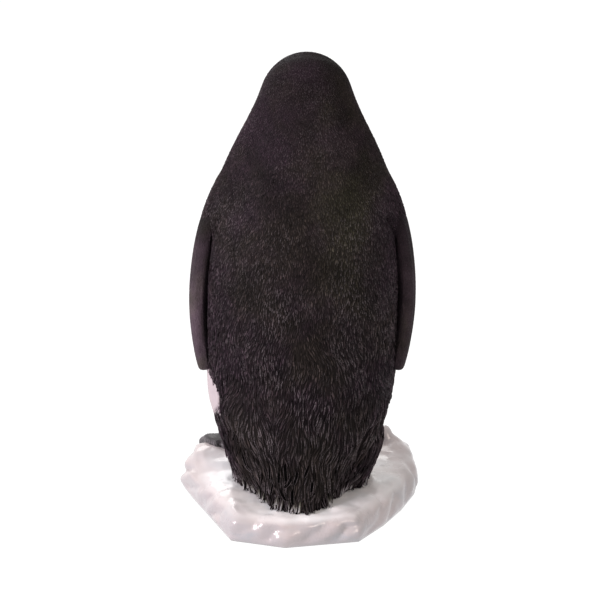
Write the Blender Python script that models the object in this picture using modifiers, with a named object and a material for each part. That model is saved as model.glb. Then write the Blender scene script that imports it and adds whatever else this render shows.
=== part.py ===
"""Life-size statue of an adult emperor penguin, cast in resin on a slab of ice.

The bird faces -Y and stands on +Z, with its left side at +X. The origin is the
centre of the slab's underside. Sizes are in metres.
"""

import math

import bmesh
import bpy
from mathutils import Matrix, Vector

# Driving dimensions
GAP = 0.0004  # clearance between two pieces that touch
ICE_TOP = 0.060  # level of the ice where the bird stands
ICE_HALF_WIDTH = 0.270
ICE_HALF_DEPTH = 0.281
AXIS_Y = 0.045  # the bird's upright axis, behind the slab's centre
LEAN = 0.018  # the bird leans this much to its right per metre of height
LEAN_PIVOT = 0.20  # height where the lean shifts nothing
BODY_POINTS = 16  # corners of a section of the body
LIMB_POINTS = 8  # corners of a section of a leg, the tail or the bill

# Body stations from the hem to the face: centre y (from the axis) and z, tilt of
# the section in degrees (0 is level, 90 stands upright and faces forwards), half
# width, depth to the front and depth to the back.
BODY_STATIONS = [
    (0.030, 0.015, -14, 0.085, 0.070, 0.088),
    (0.026, 0.078, -12, 0.124, 0.128, 0.122),
    (0.018, 0.140, -9, 0.163, 0.168, 0.146),
    (0.008, 0.215, -5, 0.1925, 0.196, 0.163),
    (0.005, 0.258, -3.5, 0.2015, 0.203, 0.1675),
    (0.002, 0.300, -2, 0.208, 0.208, 0.171),
    (0.000, 0.390, 0, 0.212, 0.209, 0.173),
    (0.000, 0.480, 0, 0.212, 0.202, 0.169),
    (0.000, 0.565, 0, 0.209, 0.191, 0.161),
    (0.000, 0.650, 2, 0.203, 0.176, 0.149),
    (0.001, 0.730, 4, 0.187, 0.159, 0.132),
    (0.001, 0.800, 8, 0.158, 0.137, 0.113),
    (-0.002, 0.855, 17, 0.128, 0.113, 0.098),
    (-0.014, 0.902, 33, 0.101, 0.088, 0.089),
    (-0.043, 0.930, 56, 0.092, 0.068, 0.080),
    (-0.077, 0.932, 82, 0.077, 0.060, 0.067),
    (-0.107, 0.921, 104, 0.063, 0.052, 0.058),
    (-0.131, 0.903, 120, 0.049, 0.043, 0.046),
    (-0.151, 0.884, 127, 0.036, 0.031, 0.034),
    (-0.168, 0.870, 128, 0.024, 0.021, 0.022),
    (-0.178, 0.862, 128, 0.016, 0.014, 0.015),
]

# The left flank swells out under the flipper's tip: level of the station that does,
# and by how much.
FLANK_LEVEL = 0.258
FLANK_SWELL = 0.008

# Planes that part the whole body: a point on the plane (y from the axis, z) and its
# tilt in degrees. The head lies beyond the nape's plane and above the throat's.
NECK_CUT = (0.000, 0.792, 8)
NAPE_CUT = (-0.056, 0.932, 66)
THROAT_CUT = (-0.080, 0.862, 8)

# Flipper stations from the shoulder to the tip: outer edge x, centre y (from the
# axis), z, width of the blade and its thickness.
WING_STATIONS = [
    (0.156, -0.012, 0.780, 0.050, 0.032),
    (0.188, -0.012, 0.730, 0.092, 0.036),
    (0.213, -0.010, 0.670, 0.114, 0.035),
    (0.230, -0.006, 0.606, 0.120, 0.033),
    (0.239, -0.002, 0.540, 0.117, 0.031),
    (0.242, 0.004, 0.475, 0.110, 0.030),
    (0.2375, 0.009, 0.415, 0.100, 0.029),
    (0.229, 0.013, 0.364, 0.086, 0.028),
    (0.2225, 0.015, 0.333, 0.068, 0.027),
    (0.2185, 0.016, 0.3200, 0.044, 0.019),
]
WING_WRAP_RADIUS = 0.20  # the blade curves round the flank

# Feathered legs, from the flank down into the ice: x, y from the axis, z, half
# width and half depth. The left one stands on the ice lump, its hem drawn in.
LEG_STATIONS = {
    "left": [
        (0.100, 0.012, 0.228, 0.038, 0.044),
        (0.110, 0.004, 0.200, 0.066, 0.080),
        (0.101, -0.002, 0.150, 0.077, 0.098),
        (0.092, 0.004, 0.104, 0.066, 0.090),
        (0.083, 0.010, 0.045, 0.060, 0.078),
    ],
    "right": [
        (-0.100, 0.012, 0.228, 0.038, 0.044),
        (-0.118, 0.004, 0.200, 0.068, 0.080),
        (-0.118, -0.002, 0.150, 0.077, 0.100),
        (-0.101, 0.000, 0.104, 0.071, 0.098),
        (-0.094, 0.002, 0.045, 0.064, 0.088),
    ],
}

# Tail wedge under the rump, down to the ice: y from the axis, z, half width and
# half depth.
TAIL_STATIONS = [
    (0.090, 0.212, 0.050, 0.044),
    (0.102, 0.176, 0.084, 0.064),
    (0.116, 0.120, 0.096, 0.069),
    (0.127, 0.074, 0.078, 0.066),
    (0.131, 0.040, 0.056, 0.060),
]

# Feet: heel position (x, y from the axis), level of the sole, turn-out and how far
# the toes point down, in degrees. The left foot slopes down the front of its lump.
FEET = {
    "left": {"x": 0.180, "y": -0.072, "sole": 0.080, "turn_out": 4, "pitch": 6},
    "right": {"x": -0.068, "y": -0.056, "sole": ICE_TOP, "turn_out": 5, "pitch": 0},
}
FOOT_LENGTH = 0.126
TOE_HEIGHT = 0.020
TOE_HEADINGS = (-21, 0, 21)  # degrees from the foot's middle line
CLAW_LENGTH = 0.026
CLAW_RADIUS = 0.0048

# Bill: where it leaves the face (y from the axis, z), degrees below level, and
# stations along it: distance, drop, half width and half height.
BILL_ROOT = (-0.158, 0.8785)
BILL_TILT = 38
BILL_STATIONS = [
    (0.000, 0.0000, 0.0135, 0.0150),
    (0.028, 0.0000, 0.0115, 0.0128),
    (0.052, 0.0004, 0.0092, 0.0102),
    (0.076, 0.0022, 0.0068, 0.0078),
    (0.096, 0.0058, 0.0045, 0.0054),
    (0.107, 0.0090, 0.0022, 0.0027),
]

EYE_RADIUS = 0.0085
EYE_PLACE = (0.0490, -0.1240, 0.9230)  # x, y from the axis, z

# Corners of the slab: heading (degrees from +X towards +Y) and share of the
# slab's half width and half depth. The side runs straight between them.
ICE_CORNERS = [
    (355, 0.995), (368, 0.910), (418, 1.030), (443, 1.000), (477, 1.000), (497, 0.908),
    (517, 0.895), (536, 0.950), (554, 1.010), (561, 1.044), (570, 1.100), (583, 1.030),
    (606, 1.000), (630, 1.000), (655, 0.985), (678, 0.965), (698, 1.010),
]
# Slab rings from the underside up: share of the outline and level.
ICE_RINGS = [
    (0.985, 0.0), (1.0, 0.007), (0.992, 0.028), (0.968, 0.046),
    (0.900, 0.057), (0.820, ICE_TOP), (0.760, ICE_TOP), (0.700, ICE_TOP),
    (0.640, ICE_TOP), (0.560, ICE_TOP), (0.460, ICE_TOP), (0.300, ICE_TOP),
    (0.140, ICE_TOP),
]
# Ice lumps: x, y, radius, height over the slab and steepness; over 1 a lump has a
# flat top.
ICE_LUMPS = [
    (0.178, -0.064, 0.104, 0.018, 2.2),
    (0.232, -0.045, 0.045, 0.028, 2.0),
    (0.252, -0.020, 0.055, 0.010, 1.6),
    (-0.198, -0.138, 0.032, 0.048, 1.0),
    (-0.240, -0.146, 0.074, 0.014, 1.6),
    (0.050, -0.240, 0.060, 0.012, 1.0),
]

COLOURS = {  # base colour (linear), roughness
    "black_paint": ((0.020, 0.016, 0.018), 0.46),
    "white_paint": ((0.70, 0.66, 0.65), 0.42),
    "foot_paint": ((0.060, 0.054, 0.060), 0.50),
    "bill_paint": ((0.022, 0.018, 0.020), 0.30),
    "mandible_paint": ((0.72, 0.26, 0.16), 0.30),
    "eye_gloss": ((0.018, 0.010, 0.006), 0.08),
    "claw_paint": ((0.022, 0.020, 0.021), 0.35),
    "ice_gloss": ((0.74, 0.70, 0.70), 0.18),
}


def clear_scene():
    for obj in list(bpy.data.objects):
        bpy.data.objects.remove(obj)


def make_collection(name):
    collection = bpy.data.collections.new(name)
    bpy.context.scene.collection.children.link(collection)
    return collection


def make_paints():
    paints = {}
    for name, (colour, roughness) in COLOURS.items():
        paint = bpy.data.materials.new(name)
        paint.use_nodes = True
        shader = paint.node_tree.nodes["Principled BSDF"]
        shader.inputs["Base Color"].default_value = (*colour, 1.0)
        shader.inputs["Roughness"].default_value = roughness
        shader.inputs["Metallic"].default_value = 0.0
        paints[name] = paint
    return paints


def object_from(bm, name, collection):
    """A new object holding the bmesh, with its faces turned outwards."""
    bmesh.ops.recalc_face_normals(bm, faces=bm.faces)
    mesh = bpy.data.meshes.new(name)
    bm.to_mesh(mesh)
    bm.free()
    obj = bpy.data.objects.new(name, mesh)
    collection.objects.link(obj)
    return obj


def ring_cage(name, rings, collection):
    """A closed cage: quads from each ring to the next, and a cap at each end."""
    bm = bmesh.new()
    loops = [[bm.verts.new(point) for point in ring] for ring in rings]
    count = len(rings[0])
    for lower, upper in zip(loops, loops[1:]):
        for k in range(count):
            bm.faces.new((lower[k], lower[(k + 1) % count], upper[(k + 1) % count], upper[k]))
    bm.faces.new(reversed(loops[0]))
    bm.faces.new(loops[-1])
    return object_from(bm, name, collection)


def applied(obj):
    """Bakes the object's modifiers into its mesh."""
    graph = bpy.context.evaluated_depsgraph_get()
    mesh = bpy.data.meshes.new_from_object(obj.evaluated_get(graph))
    obj.modifiers.clear()
    obj.data = mesh
    return obj


def triangulated(obj):
    """Splits every face into triangles, so a form and its cutter agree."""
    bm = bmesh.new()
    bm.from_mesh(obj.data)
    bmesh.ops.triangulate(bm, faces=bm.faces)
    bm.to_mesh(obj.data)
    bm.free()
    return obj


def soften(obj):
    """Rounds a coarse cage with one level of subdivision."""
    subdivision = obj.modifiers.new("soften", "SUBSURF")
    subdivision.levels = 1
    subdivision.render_levels = 1
    return triangulated(applied(obj))


def oval_ring(centre, tilt, half_width, front, back, points):
    """Ring round a centre, tilted forwards, and wide enough for the softened form to
    keep the sizes given."""
    swell = 4 / (3 + math.cos(math.tau / points))
    lean = math.radians(tilt)
    ring = []
    for k in range(points):
        turn = math.tau * k / points
        depth = back if math.cos(turn) > 0 else front
        along = swell * depth * math.cos(turn)
        ring.append(Vector((
            centre.x + swell * half_width * math.sin(turn),
            centre.y + along * math.cos(lean),
            centre.z + along * math.sin(lean),
        )))
    return ring


def leaned(obj):
    """Leans a form to the bird's right."""
    shear = Matrix.Identity(4)
    shear[0][2] = -LEAN
    shear[0][3] = LEAN * LEAN_PIVOT
    obj.data.transform(shear)
    return obj


def body_form(collection):
    """The whole body from hem to face, before it is parted."""
    rings = [
        oval_ring(Vector((0, AXIS_Y + y, z)), tilt, width, front, back, BODY_POINTS)
        for y, z, tilt, width, front, back in BODY_STATIONS
    ]
    flank = rings[[station[1] for station in BODY_STATIONS].index(FLANK_LEVEL)]
    widest = max(point.x for point in flank)
    for point in flank:
        point.x += FLANK_SWELL * max(0.0, point.x / widest) ** 3
    return leaned(soften(ring_cage("body_form", rings, collection)))


def wing_ring(outer_x, y, z, width, thickness):
    """Section of a flipper: a flat lens that curves round the flank."""
    spots = [(-1.0, 0.0), (-0.8, 1.0), (-0.3, 1.0), (0.3, 1.0), (0.8, 1.0),
             (1.0, 0.0), (0.8, -1.0), (0.3, -1.0), (-0.3, -1.0), (-0.8, -1.0)]
    ring = []
    for across, face in spots:
        turn = across * 0.54 * width / WING_WRAP_RADIUS
        radius = WING_WRAP_RADIUS + face * 0.58 * thickness
        ring.append(Vector((
            outer_x - thickness / 2 - WING_WRAP_RADIUS + radius * math.cos(turn),
            AXIS_Y + y + radius * math.sin(turn),
            z,
        )))
    return ring


def wing_form(side, collection):
    rings = [wing_ring(*station) for station in WING_STATIONS]
    rings = [[Vector((side * p.x, p.y, p.z)) for p in ring] for ring in rings]
    return leaned(soften(ring_cage("wing_form", rings, collection)))


def leg_form(side, collection):
    rings = [
        oval_ring(Vector((x, AXIS_Y + y, z)), 0, width, depth, depth, LIMB_POINTS)
        for x, y, z, width, depth in LEG_STATIONS[side]
    ]
    return leaned(soften(ring_cage("leg_form", rings, collection)))


def tail_form(collection):
    rings = [
        oval_ring(Vector((0, AXIS_Y + y, z)), 0, width, depth, depth, LIMB_POINTS)
        for y, z, width, depth in TAIL_STATIONS
    ]
    return leaned(soften(ring_cage("tail_form", rings, collection)))


def foot_point(heading, distance, height):
    """A spot on a foot that points to -Y with its heel at the origin."""
    turn = math.radians(heading)
    return Vector((math.sin(turn) * distance, -math.cos(turn) * distance, height))


def foot_form(collection):
    """Webbed foot: a fan with three rounded toes and the web sunk between them."""
    # Heading, reach and height of each line of the fan, as shares of the middle toe
    lines = [
        (-27, 0.76, 0.55), (-21, 0.88, 1.00), (-10.5, 0.80, 0.60), (0, 1.00, 1.00),
        (10.5, 0.80, 0.60), (21, 0.88, 1.00), (27, 0.76, 0.55),
    ]
    # Reach, rise and how far the toes stand out of the instep
    rows = [(0.10, 1.40, 0.0), (0.32, 2.12, 0.1), (0.58, 1.52, 0.6), (0.82, 1.00, 1.0),
            (1.0, 0.64, 1.0)]
    bm = bmesh.new()
    top, sole = [], []
    for reach, rise, parted in rows:
        spread = 2.2 - 1.2 * min(1.0, reach / 0.62)
        top_row, sole_row = [], []
        for heading, length, height in lines:
            level = TOE_HEIGHT * rise * (0.9 + (height - 0.9) * parted)
            distance = FOOT_LENGTH * reach * (0.9 + (length - 0.9) * parted)
            top_row.append(bm.verts.new(foot_point(heading * spread, distance, level)))
            sole_row.append(bm.verts.new(foot_point(heading * spread, distance, 0.0)))
        top.append(top_row)
        sole.append(sole_row)
    last = len(lines) - 1
    for r in range(len(rows) - 1):
        for c in range(last):
            bm.faces.new((top[r][c], top[r][c + 1], top[r + 1][c + 1], top[r + 1][c]))
            bm.faces.new((sole[r][c], sole[r + 1][c], sole[r + 1][c + 1], sole[r][c + 1]))
        for c in (0, last):
            bm.faces.new((top[r][c], top[r + 1][c], sole[r + 1][c], sole[r][c]))
    for r in (0, len(rows) - 1):
        for c in range(last):
            bm.faces.new((top[r][c], top[r][c + 1], sole[r][c + 1], sole[r][c]))
    foot = soften(object_from(bm, "foot_form", collection))
    for vertex in foot.data.vertices:
        vertex.co.z = max(vertex.co.z, 0.0)
    return foot


def claw_form(heading, collection):
    """Tapered claw that curves down over one toe of a foot pointing to -Y."""
    reach = FOOT_LENGTH * (0.93 if heading == 0 else 0.81)
    arc = [(-0.30, 0.0095, 1.0), (0.10, 0.0102, 1.0), (0.45, 0.0086, 0.80),
           (0.78, 0.0058, 0.52), (1.0, 0.0026, 0.22)]
    curve = bpy.data.curves.new("claw_form", "CURVE")
    curve.dimensions = "3D"
    curve.bevel_depth = CLAW_RADIUS
    curve.bevel_resolution = 1
    curve.use_fill_caps = True
    spline = curve.splines.new("POLY")
    spline.points.add(len(arc) - 1)
    for point, (along, height, taper) in zip(spline.points, arc):
        point.co = (*foot_point(heading, reach + along * CLAW_LENGTH, height), 1.0)
        point.radius = taper
    return mesh_of_curve(curve, "claw_form", collection)


def mesh_of_curve(curve, name, collection):
    """Turns a curve into a mesh object with its caps welded on."""
    guide = bpy.data.objects.new(name, curve)
    collection.objects.link(guide)
    graph = bpy.context.evaluated_depsgraph_get()
    bm = bmesh.new()
    bm.from_mesh(bpy.data.meshes.new_from_object(guide.evaluated_get(graph)))
    bmesh.ops.remove_doubles(bm, verts=bm.verts, dist=1e-5)
    bpy.data.objects.remove(guide)
    return object_from(bm, name, collection)


def bill_form(collection):
    """The whole bill, leaving the face along its slope and drooping at the tip."""
    rings = [
        oval_ring(Vector((0, -along, -drop)), 90, width, height, height, LIMB_POINTS)
        for along, drop, width, height in BILL_STATIONS
    ]
    obj = soften(ring_cage("bill_form", rings, collection))
    place = Matrix.Translation((0, AXIS_Y + BILL_ROOT[0], BILL_ROOT[1]))
    obj.data.transform(place @ Matrix.Rotation(math.radians(BILL_TILT), 4, "X"))
    return leaned(obj)


def lump_height(x, y):
    """Height of the ice lumps over the slab at a point."""
    total = 0.0
    for lump_x, lump_y, radius, height, steepness in ICE_LUMPS:
        reach = math.hypot(x - lump_x, y - lump_y) / radius
        if reach < 1:
            total = max(total, height * min(1.0, steepness * (1 - reach * reach)))
    return total


def slab_outline():
    """The slab's outline: its corners and the middle of each straight side, scaled
    to the named sizes."""
    corners = [
        Vector((math.cos(math.radians(heading)), math.sin(math.radians(heading)))) * share
        for heading, share in ICE_CORNERS
    ]
    outline = []
    for corner, following in zip(corners, corners[1:] + corners[:1]):
        outline += [corner.lerp(following, k / 3) for k in range(3)]
    low = Vector((min(p.x for p in outline), min(p.y for p in outline)))
    high = Vector((max(p.x for p in outline), max(p.y for p in outline)))
    middle = (low + high) / 2
    return [
        Vector((
            (p.x - middle.x) * 2 * ICE_HALF_WIDTH / (high.x - low.x),
            (p.y - middle.y) * 2 * ICE_HALF_DEPTH / (high.y - low.y),
        ))
        for p in outline
    ]


def ice_slab(collection):
    """Cast slab of ice with facets round its side and lumps on top."""
    outline = slab_outline()
    rings = []
    for share, level in ICE_RINGS:
        ring = []
        for corner in outline:
            x, y = corner.x * share, corner.y * share
            lift = lump_height(x, y) * (level / ICE_TOP) ** 2
            ring.append(Vector((x, y, level + lift)))
        rings.append(ring)
    return triangulated(ring_cage("ice_base", rings, collection))


def sliced(obj, point, normal, name, collection):
    """Copy of a solid with what lies on the normal's side of a plane taken off and
    the cut closed with a flat face."""
    bm = bmesh.new()
    bm.from_mesh(obj.data)
    geometry = [*bm.verts, *bm.edges, *bm.faces]
    cut = bmesh.ops.bisect_plane(
        bm, geom=geometry, dist=1e-6, plane_co=point, plane_no=normal, clear_outer=True
    )
    rim = [item for item in cut["geom_cut"] if isinstance(item, bmesh.types.BMEdge)]
    bmesh.ops.contextual_create(bm, geom=rim)
    return object_from(bm, name, collection)


def inflated(obj, collection):
    """Cutter that leaves the clearance round a solid."""
    cutter = obj.copy()
    cutter.data = obj.data.copy()
    cutter.name = obj.name + "_cutter"
    collection.objects.link(cutter)
    swell = cutter.modifiers.new("swell", "DISPLACE")
    swell.strength = GAP
    swell.mid_level = 0.0
    return applied(cutter)


def cut_by(obj, cutter):
    step = obj.modifiers.new("cut", "BOOLEAN")
    step.object = cutter
    step.operation = "DIFFERENCE"
    step.solver = "EXACT"
    return applied(obj)


def cut_plane(cut, shift):
    """Point and upward normal of a plane through the body, shifted along it."""
    y, z, tilt = cut
    lean = math.radians(tilt)
    normal = Vector((0, -math.sin(lean), math.cos(lean)))
    return Vector((0, AXIS_Y + y, z)) + normal * shift, normal


def head_space(collection):
    """Wedge that takes the head and its clearance out of the neck."""
    nape, forwards = cut_plane(NAPE_CUT, -GAP)
    throat, upwards = cut_plane(THROAT_CUT, -GAP)
    along_nape = Vector((0, forwards.z, -forwards.y))
    corner = nape - along_nape * ((nape - throat).dot(upwards) / along_nape.dot(upwards))
    reach = 0.3
    along_throat = Vector((0, -upwards.z, upwards.y))
    profile = [
        corner,
        corner + along_nape * reach,
        corner + (along_nape + along_throat) * reach,
        corner + along_throat * reach,
    ]
    rings = [[point + Vector((side * reach, 0, 0)) for point in profile] for side in (-1, 1)]
    return ring_cage("head_space", rings, collection)


def finish(obj, name, paint, parts):
    """Names a finished piece, paints it and files it with the statue's parts."""
    for collection in list(obj.users_collection):
        collection.objects.unlink(obj)
    parts.objects.link(obj)
    obj.name = name
    obj.data.name = name
    obj.data.materials.clear()
    obj.data.materials.append(paint)
    obj.data.shade_smooth()
    obj.data.set_sharp_from_angle(angle=math.radians(35))
    return obj


def build_lower_body(whole, ice_cutter, parts, cutters, paints):
    """Trunk, tail and legs, each cut clear of the ones before. Returns the cutters
    that keep the feet out of them."""
    top, up = cut_plane(NECK_CUT, -GAP / 2)
    trunk = sliced(whole, top, up, "trunk_form", cutters)
    forms = {side: leg_form(side, cutters) for side in LEG_STATIONS}
    leg_cutters = [inflated(form, cutters) for form in forms.values()]
    trunk_cutter = inflated(trunk, cutters)
    tail = cut_by(cut_by(tail_form(cutters), trunk_cutter), ice_cutter)
    tail_cutter = inflated(tail, cutters)
    for cutter in leg_cutters:
        cut_by(trunk, cutter)
    cut_by(trunk, ice_cutter)
    for side, form in forms.items():
        cut_by(cut_by(form, tail_cutter), ice_cutter)
        finish(form, "leg_" + side, paints["black_paint"], parts)
    finish(trunk, "trunk", paints["white_paint"], parts)
    finish(tail, "tail", paints["black_paint"], parts)
    return [trunk_cutter, *leg_cutters]


def build_head(whole, parts, cutters, paints):
    """Neck, head, eyes in their sockets and the bill in two halves."""
    base, up = cut_plane(NECK_CUT, GAP / 2)
    neck = sliced(whole, base, -up, "neck_form", cutters)
    nape, forwards = cut_plane(NAPE_CUT, 0)
    throat, upwards = cut_plane(THROAT_CUT, 0)
    head = sliced(neck, nape, -forwards, "head_form", cutters)
    head = sliced(head, throat, -upwards, "head_form", cutters)
    cut_by(neck, head_space(cutters))
    for side, sign in (("left", 1), ("right", -1)):
        x, y, z = EYE_PLACE
        bpy.ops.mesh.primitive_uv_sphere_add(segments=12, ring_count=8, radius=EYE_RADIUS)
        eye = bpy.context.object
        eye.name = "eye_form"
        eye.data.transform(Matrix.Translation((sign * x, AXIS_Y + y, z)))
        cut_by(head, inflated(leaned(eye), cutters))
        finish(eye, "eye_" + side, paints["eye_gloss"], parts)
    bill = cut_by(bill_form(cutters), inflated(head, cutters))
    mouth = Vector((0, AXIS_Y + BILL_ROOT[0], BILL_ROOT[1] - 0.001))
    mouth_up = Matrix.Rotation(math.radians(BILL_TILT + 1.5), 3, "X") @ Vector((0, 0, 1))
    upper = sliced(bill, mouth + mouth_up * GAP / 2, -mouth_up, "bill_upper", cutters)
    lower = sliced(bill, mouth - mouth_up * GAP / 2, mouth_up, "bill_lower", cutters)
    finish(upper, "bill_upper", paints["bill_paint"], parts)
    finish(lower, "bill_lower", paints["mandible_paint"], parts)
    finish(neck, "neck", paints["black_paint"], parts)
    finish(head, "head", paints["black_paint"], parts)


def build_wings(whole, parts, cutters, paints):
    body_cutter = inflated(whole, cutters)
    for side, sign in (("left", 1), ("right", -1)):
        wing = cut_by(wing_form(sign, cutters), body_cutter)
        finish(wing, "wing_" + side, paints["black_paint"], parts)


def build_feet(body_cutters, ice_cutter, parts, cutters, paints):
    for side, sign in (("left", 1), ("right", -1)):
        stance = FEET[side]
        turn = Matrix.Rotation(math.radians(sign * stance["turn_out"]), 4, "Z")
        pitch = Matrix.Rotation(math.radians(stance["pitch"]), 4, "X")
        spot = (stance["x"], AXIS_Y + stance["y"], stance["sole"] + GAP)
        place = Matrix.Translation(spot) @ turn @ pitch
        foot = foot_form(cutters)
        foot.data.transform(place)
        for cutter in (*body_cutters, ice_cutter):
            cut_by(foot, cutter)
        foot_cutter = inflated(foot, cutters)
        for number, heading in enumerate(TOE_HEADINGS, start=1):
            claw = claw_form(heading, cutters)
            claw.data.transform(place)
            cut_by(claw, foot_cutter)
            cut_by(claw, ice_cutter)
            finish(claw, f"claw_{side}_{number}", paints["claw_paint"], parts)
        finish(foot, "foot_" + side, paints["foot_paint"], parts)


def main():
    clear_scene()
    parts = make_collection("emperor_penguin_statue")
    cutters = make_collection("cutters")
    paints = make_paints()
    whole = body_form(cutters)
    ice = ice_slab(cutters)
    ice_cutter = inflated(ice, cutters)
    body_cutters = build_lower_body(whole, ice_cutter, parts, cutters, paints)
    build_head(whole, parts, cutters, paints)
    build_wings(whole, parts, cutters, paints)
    build_feet(body_cutters, ice_cutter, parts, cutters, paints)
    finish(ice, "ice_base", paints["ice_gloss"], parts)
    for form in cutters.objects:
        form.hide_render = True
        form.display_type = "WIRE"


main()
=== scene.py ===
import math
from functools import partial

import bmesh
import bpy
import numpy as np
from mathutils import Matrix, Vector, noise
from mathutils.bvhtree import BVHTree


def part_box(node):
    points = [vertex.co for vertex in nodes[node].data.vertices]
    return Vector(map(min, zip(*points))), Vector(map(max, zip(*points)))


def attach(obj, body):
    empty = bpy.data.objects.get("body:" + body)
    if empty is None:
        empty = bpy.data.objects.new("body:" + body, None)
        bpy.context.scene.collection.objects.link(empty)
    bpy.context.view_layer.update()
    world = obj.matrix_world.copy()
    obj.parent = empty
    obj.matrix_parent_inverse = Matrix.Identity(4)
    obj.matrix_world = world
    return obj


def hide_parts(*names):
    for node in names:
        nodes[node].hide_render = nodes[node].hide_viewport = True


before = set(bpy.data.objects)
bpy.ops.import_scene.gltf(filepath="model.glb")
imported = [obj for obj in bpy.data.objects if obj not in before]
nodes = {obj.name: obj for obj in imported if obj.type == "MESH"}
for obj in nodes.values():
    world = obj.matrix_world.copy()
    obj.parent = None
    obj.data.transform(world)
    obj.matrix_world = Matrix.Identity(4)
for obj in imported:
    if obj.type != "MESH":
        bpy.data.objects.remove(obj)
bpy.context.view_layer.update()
print("frame loaded:", len(nodes), "nodes")

# The bird stands behind the middle of the slab and leans a little to its right
stance = {
    "axisY": 0.045,
    "lean": 0.018,                        # sideways shift for each metre of height
    "leanPivot": 0.20,
    "iceTop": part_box("trunk")[0].z,       # the hem stands in the ice at this height
}
sides = {"left": 1, "right": -1}          # which way each side lies along x
rays = {"length": 0.5, "hop": 1e-5}       # longer than the bird is wide, and a step past a surface


def leanShift(z):
    return -stance["lean"] * (z - stance["leanPivot"])


def smoothStep(value, low, high):
    share = np.clip((np.asarray(value, float) - low) / (high - low), 0.0, 1.0)
    return share * share * (3.0 - 2.0 * share)


def between(value, starts, ends):
    # 0, rising to 1 over the starts and falling to 0 again over the ends
    return smoothStep(value, *starts) * (1 - smoothStep(value, *ends))


def bell(distance, spread):
    # 1 at no distance, falling away smoothly on both sides
    return np.exp(-((distance / spread) ** 2))


def softPatch(first, second, patch):
    # the same in two directions, round a patch's middle
    a = (first - patch["middle"][0]) / patch["spread"][0]
    b = (second - patch["middle"][1]) / patch["spread"][1]
    return np.exp(-a**2 - b**2)


def mix(a, b, share):
    return a + (b - a) * share


def curveThrough(stations, spots):
    # smooth curve through the stations, read at fractional station numbers
    points = np.asarray(stations, float)
    last = len(points) - 1
    start = np.clip(np.floor(spots).astype(int), 0, last - 1)
    part = (spots - start)[:, None]
    before = points[np.clip(start - 1, 0, last)]
    here = points[start]
    after = points[start + 1]
    beyond = points[np.clip(start + 2, 0, last)]
    cubic = -before + 3 * here - 3 * after + beyond
    square = 2 * before - 5 * here + 4 * after - beyond
    return 0.5 * (2 * here + (after - before) * part + square * part**2 + cubic * part**3)


def treeOf(names):
    corners, faces = [], []
    for name in names:
        mesh = nodes[name].data
        first = len(corners)
        corners += [v.co.copy() for v in mesh.vertices]
        faces += [[first + i for i in p.vertices] for p in mesh.polygons]
    return BVHTree.FromPolygons(corners, faces)


def reachOut(tree, origin, direction, bridge):
    # distance to the far side of the solids that touch each other along a ray
    reach = 0.0
    while reach < rays["length"]:
        start = origin + direction * (reach + rays["hop"])
        spot, normal, _, distance = tree.ray_cast(start, direction, rays["length"])
        if spot is None:
            break
        entering = normal.dot(direction) < 0
        if entering and distance > bridge:
            break
        reach += distance + rays["hop"]
    return reach


def blurred(grid, rowPasses, columnPasses):
    # softens a grid whose columns run round and whose rows have ends
    for _ in range(rowPasses):
        padded = np.concatenate([grid[:1], grid, grid[-1:]])
        grid = 0.25 * padded[:-2] + 0.5 * grid + 0.25 * padded[2:]
    for _ in range(columnPasses):
        grid = 0.25 * np.roll(grid, 1, axis=1) + 0.5 * grid + 0.25 * np.roll(grid, -1, axis=1)
    return grid


def gridNormals(points):
    alongRows = np.gradient(points, axis=0)
    alongColumns = (np.roll(points, -1, axis=1) - np.roll(points, 1, axis=1)) / 2
    normals = np.cross(alongRows, alongColumns)
    return normals / np.maximum(np.linalg.norm(normals, axis=2, keepdims=True), 1e-12)


def readGrid(grid, rows, columns):
    # value between grid points: rows are clamped, columns run round
    height, width = grid.shape[:2]
    rows = np.clip(rows, 0, height - 1.001)
    low = np.floor(rows).astype(int)
    left = np.floor(columns).astype(int)
    up = (rows - low)[..., None]
    over = (columns - left)[..., None]
    left, right = left % width, (left + 1) % width
    lower = grid[low, left] * (1 - over) + grid[low, right] * over
    upper = grid[low + 1, left] * (1 - over) + grid[low + 1, right] * over
    return lower * (1 - up) + upper * up


def gridFaces(rows, columns):
    # quads of a grid that runs round, facing out when rows climb and columns go round
    row = np.arange(rows - 1)[:, None]
    column = np.arange(columns)[None, :]
    following = (column + 1) % columns
    quads = np.stack([
        row * columns + column,
        (row + 1) * columns + column,
        (row + 1) * columns + following,
        row * columns + following,
    ], axis=-1)
    return quads.reshape(-1, 4).tolist()


def treeOfGrid(grid):
    corners = [Vector(p) for p in grid.reshape(-1, 3)]
    return BVHTree.FromPolygons(corners, gridFaces(*grid.shape[:2]))


def makeObject(name, corners, faces, material, cornerUvs=None):
    mesh = bpy.data.meshes.new(name)
    mesh.from_pydata(np.asarray(corners).tolist(), [], faces)
    mesh.update()
    mesh.shade_smooth()
    if cornerUvs is not None:
        layer = mesh.uv_layers.new(name="OFBake")
        layer.data.foreach_set("uv", np.asarray(cornerUvs, np.float32).ravel())
    mesh.materials.append(material)
    obj = bpy.data.objects.new(name, mesh)
    bpy.context.scene.collection.objects.link(obj)
    return obj


def paintPoints(obj, name, colours):
    layer = obj.data.attributes.new(name, "FLOAT_COLOR", "POINT")
    rgba = np.ones((len(colours), 4), np.float32)
    rgba[:, :3] = colours
    layer.data.foreach_set("color", rgba.ravel())


def notePoints(obj, name, values):
    layer = obj.data.attributes.new(name, "FLOAT", "POINT")
    layer.data.foreach_set("value", np.asarray(values, np.float32))


def place(obj, slotName, *replaced):
    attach(obj, "root")
    if replaced:
        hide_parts(*replaced)


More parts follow.
